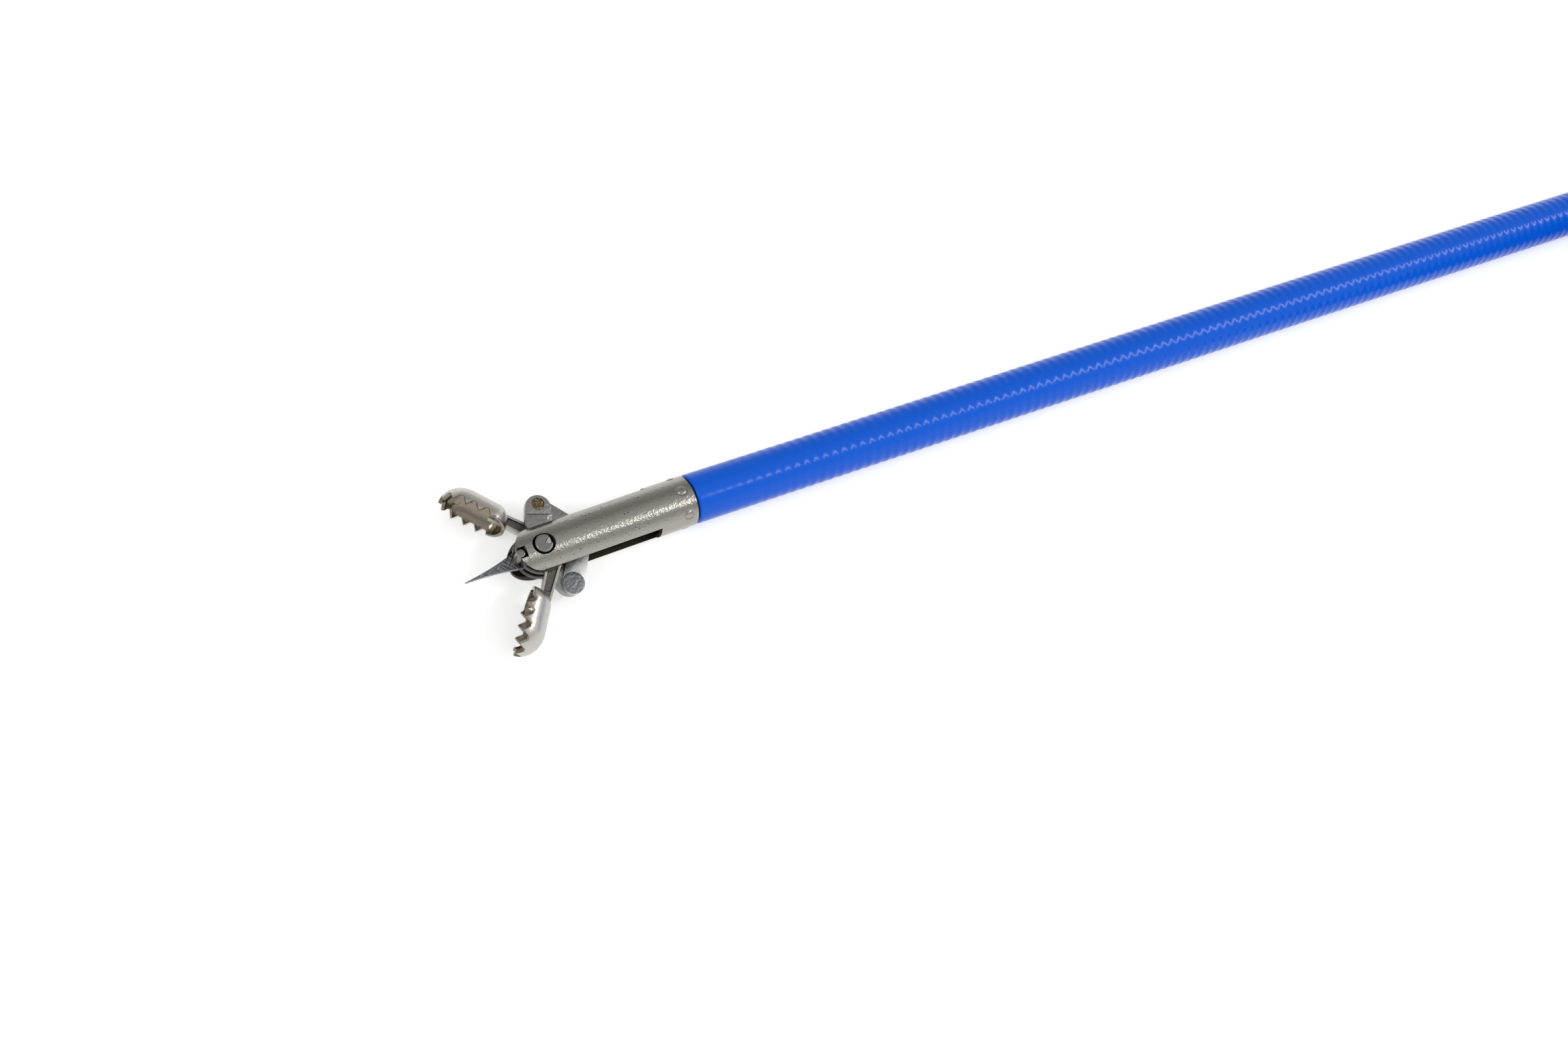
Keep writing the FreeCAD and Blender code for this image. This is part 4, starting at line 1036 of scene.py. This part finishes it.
class FORCEPS_OT_sheath(bpy.types.Operator):
    """Lay the coated spring sheath: straight from the sleeve, wound up, and into the handle"""
    bl_idname = "forceps.sheath"
    bl_label = "Sheath"

    def execute(self, context):
        path = spline_points(route_points())
        (points, faces), travel, left = tube_shape(path)
        mesh = bpy.data.meshes.new("sheath_tube")
        mesh.from_pydata((points * MM).tolist(), [], faces)
        mesh.materials.append(finish("jacket"))
        layer = mesh.uv_layers.new(name="travel")
        corner = np.empty(len(mesh.loops), np.int32)
        mesh.loops.foreach_get("vertex_index", corner)
        layer.data.foreach_set("uv", np.stack([travel[corner], left[corner]], axis=-1).ravel())
        mesh.polygons.foreach_set("use_smooth", np.ones(len(mesh.polygons), bool))
        mesh.set_sharp_from_angle(angle=math.radians(60))
        obj = bpy.data.objects.new("sheath_tube", mesh)
        context.scene.collection.objects.link(obj)
        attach(obj, "root")
        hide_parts("sheath_straight", "sheath_coil", "sheath_tail")
        return {"FINISHED"}


class FORCEPS_OT_kept(bpy.types.Operator):
    """Give the solids that stay in view a smooth shading and their finishes"""
    bl_idname = "forceps.kept"
    bl_label = "Handle and inner parts"

    def execute(self, context):
        group = smooth_group()
        finishes = {
            "sheath_collar": "dark", "crosshead": "dark", "crosshead_pin": "pin", "pull_wire": "dark",
            "strain_relief": "relief", "sheath_anchor": "dark", "nose_nut": "handle", "handle_shaft": "handle",
            "thumb_ring": "handle", "ring_pin": "pin", "spool_upper": "spool", "spool_lower": "spool",
            "wire_clamp": "brass", "clamp_screw": "pin", "drive_tube": "dark"}
        for node, name in finishes.items():
            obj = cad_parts[node]
            for slot in obj.material_slots:
                slot.material = finish(name)
            obj.modifiers.new("weld", "WELD").merge_threshold = 1e-7
            obj.modifiers.new("smooth", "NODES").node_group = group
        return {"FINISHED"}


def smooth_group():
    """Geometry nodes: smooth faces, with edges sharper than thirty degrees kept sharp."""
    group = bpy.data.node_groups.new("smooth_by_angle", "GeometryNodeTree")
    group.interface.new_socket("Geometry", in_out="INPUT", socket_type="NodeSocketGeometry")
    group.interface.new_socket("Geometry", in_out="OUTPUT", socket_type="NodeSocketGeometry")
    nodes = group.nodes
    start, end = nodes.new("NodeGroupInput"), nodes.new("NodeGroupOutput")
    faces = nodes.new("GeometryNodeSetShadeSmooth")
    edges = nodes.new("GeometryNodeSetShadeSmooth")
    edges.domain = "EDGE"
    edges.inputs["Shade Smooth"].default_value = False
    angle = nodes.new("GeometryNodeInputMeshEdgeAngle")
    above = nodes.new("FunctionNodeCompare")
    above.data_type = "FLOAT"
    above.operation = "GREATER_THAN"
    above.inputs["B"].default_value = math.radians(30)
    group.links.new(angle.outputs["Unsigned Angle"], above.inputs["A"])
    group.links.new(start.outputs[0], faces.inputs["Geometry"])
    group.links.new(faces.outputs["Geometry"], edges.inputs["Geometry"])
    group.links.new(above.outputs["Result"], edges.inputs["Selection"])
    group.links.new(edges.outputs["Geometry"], end.inputs[0])
    return group


class FORCEPS_OT_stage(bpy.types.Operator):
    """Set the floor, the lamps, the world and the camera"""
    bl_idname = "forceps.stage"
    bl_label = "Stage"

    def execute(self, context):
        scene = context.scene
        scene.view_settings.view_transform = "Standard"
        half = scene.forceps_sizes.floor / 2
        z = -SHEATH_R * MM
        mesh = bpy.data.meshes.new("floor")
        corners = [(-half, -half, z), (half, -half, z), (half, half, z), (-half, half, z)]
        mesh.from_pydata(corners, [], [(0, 1, 2, 3)])
        floor = bpy.data.objects.new("floor", mesh)
        scene.collection.objects.link(floor)
        mesh.materials.append(floor_material())
        lamp("key", (0.2, -0.06, 0.23), (0.36, 0.32, -0.2), width=0.2, height=0.03, power=0.23)
        lamp("left", (-0.26, 0.02, 0.20), (0.0, 1.0, 0.0), width=0.16, height=0.12, power=0.25)
        scene.world = studio_world()
        lens = bpy.data.cameras.new("camera")
        lens.lens = CAMERA_LENS
        lens.sensor_width = CAMERA_SENSOR
        lens.clip_start = 0.001
        lens.clip_end = 20.0
        camera = bpy.data.objects.new("camera", lens)
        camera.matrix_world = standing(CAMERA_RIGHT, CAMERA_UP, CAMERA_BACK, Vector(CAMERA_EYE) * MM)
        scene.collection.objects.link(camera)
        scene.camera = camera
        return {"FINISHED"}


def standing(right, up, back, place):
    """The matrix of an object with these three axes at this place."""
    return Matrix((*zip(right, up, back, place), (0, 0, 0, 1)))


def lamp(name, place, along, width, height, power):
    """A rectangular soft light facing the origin, its width laid along a direction."""
    back = Vector(place).normalized()
    side = (Vector(along) - Vector(along).dot(back) * back).normalized()
    light = bpy.data.lights.new(name, "AREA")
    light.shape = "RECTANGLE"
    light.size = width
    light.size_y = height
    light.energy = power
    obj = bpy.data.objects.new(name, light)
    obj.matrix_world = standing(side, back.cross(side), back, place)
    bpy.context.scene.collection.objects.link(obj)


def floor_material():
    """White floor that takes the object's shadow and reads as white to the camera and in reflections."""
    material = bpy.data.materials.new("floor")
    material.use_nodes = True
    tree = material.node_tree
    tree.nodes.remove(tree.nodes["Principled BSDF"])
    output = tree.nodes["Material Output"]
    path = add(material, "ShaderNodeLightPath")
    seen = calc(material, "ADD", path.outputs["Is Camera Ray"], path.outputs["Is Glossy Ray"], clamp=True)
    seen = calc(material, "ADD", seen, path.outputs["Is Transmission Ray"], clamp=True)
    glow = add(material, "ShaderNodeEmission", Strength=calc(material, "MULTIPLY", seen, FLOOR_GLOW))
    matte = add(material, "ShaderNodeBsdfDiffuse", Color=(0.8, 0.8, 0.8, 1.0))
    total = add(material, "ShaderNodeAddShader")
    feed(material, total.inputs[0], matte.outputs["BSDF"])
    feed(material, total.inputs[1], glow.outputs["Emission"])
    feed(material, output.inputs["Surface"], total.outputs["Shader"])
    return material


def studio_world():
    """A pale studio: white near the horizon and overhead, greyer between them, most so towards +Y."""
    world = bpy.data.worlds.new("studio")
    world.use_nodes = True
    back = world.node_tree.nodes["Background"]
    parts = add(world, "ShaderNodeSeparateXYZ", Vector=add(world, "ShaderNodeTexCoord").outputs["Generated"])
    tones = [(0.0, 0.85), (0.3, 0.8), (0.45, 0.6), (0.68, 0.45), (0.84, 0.72), (1.0, 0.75)]
    feed(world, back.inputs["Color"], ramp(world, parts.outputs["Z"], tones))
    feed(world, back.inputs["Strength"], calc(world, "MULTIPLY_ADD", parts.outputs["Y"], -0.35, 1.0))
    return world


class FORCEPS_PT_panel(bpy.types.Panel):
    """Sizes, colours and the pieces' operators"""
    bl_idname = "FORCEPS_PT_panel"
    bl_label = "Biopsy forceps"
    bl_space_type = "VIEW_3D"
    bl_region_type = "UI"
    bl_category = "Forceps"

    def draw(self, context):
        scene = context.scene
        for group in (scene.forceps_sizes, scene.forceps_colors):
            for name in group.__annotations__:
                self.layout.prop(group, name)
        for operator in OPERATORS:
            self.layout.operator(operator.bl_idname)


OPERATORS = (FORCEPS_OT_sheath, FORCEPS_OT_sleeve, FORCEPS_OT_jaws, FORCEPS_OT_spike, FORCEPS_OT_linkage,
             FORCEPS_OT_kept, FORCEPS_OT_stage)
CLASSES = (ForcepsColors, ForcepsSizes, *OPERATORS, FORCEPS_PT_panel)


def register():
    for item in CLASSES:
        bpy.utils.register_class(item)
    bpy.types.Scene.forceps_colors = bpy.props.PointerProperty(type=ForcepsColors)
    bpy.types.Scene.forceps_sizes = bpy.props.PointerProperty(type=ForcepsSizes)


def unregister():
    del bpy.types.Scene.forceps_sizes
    del bpy.types.Scene.forceps_colors
    for item in reversed(CLASSES):
        bpy.utils.unregister_class(item)


def main():
    register()
    for operator in OPERATORS:
        family, name = operator.bl_idname.split(".")
        getattr(getattr(bpy.ops, family), name)()


if __name__ == "__main__":
    main()
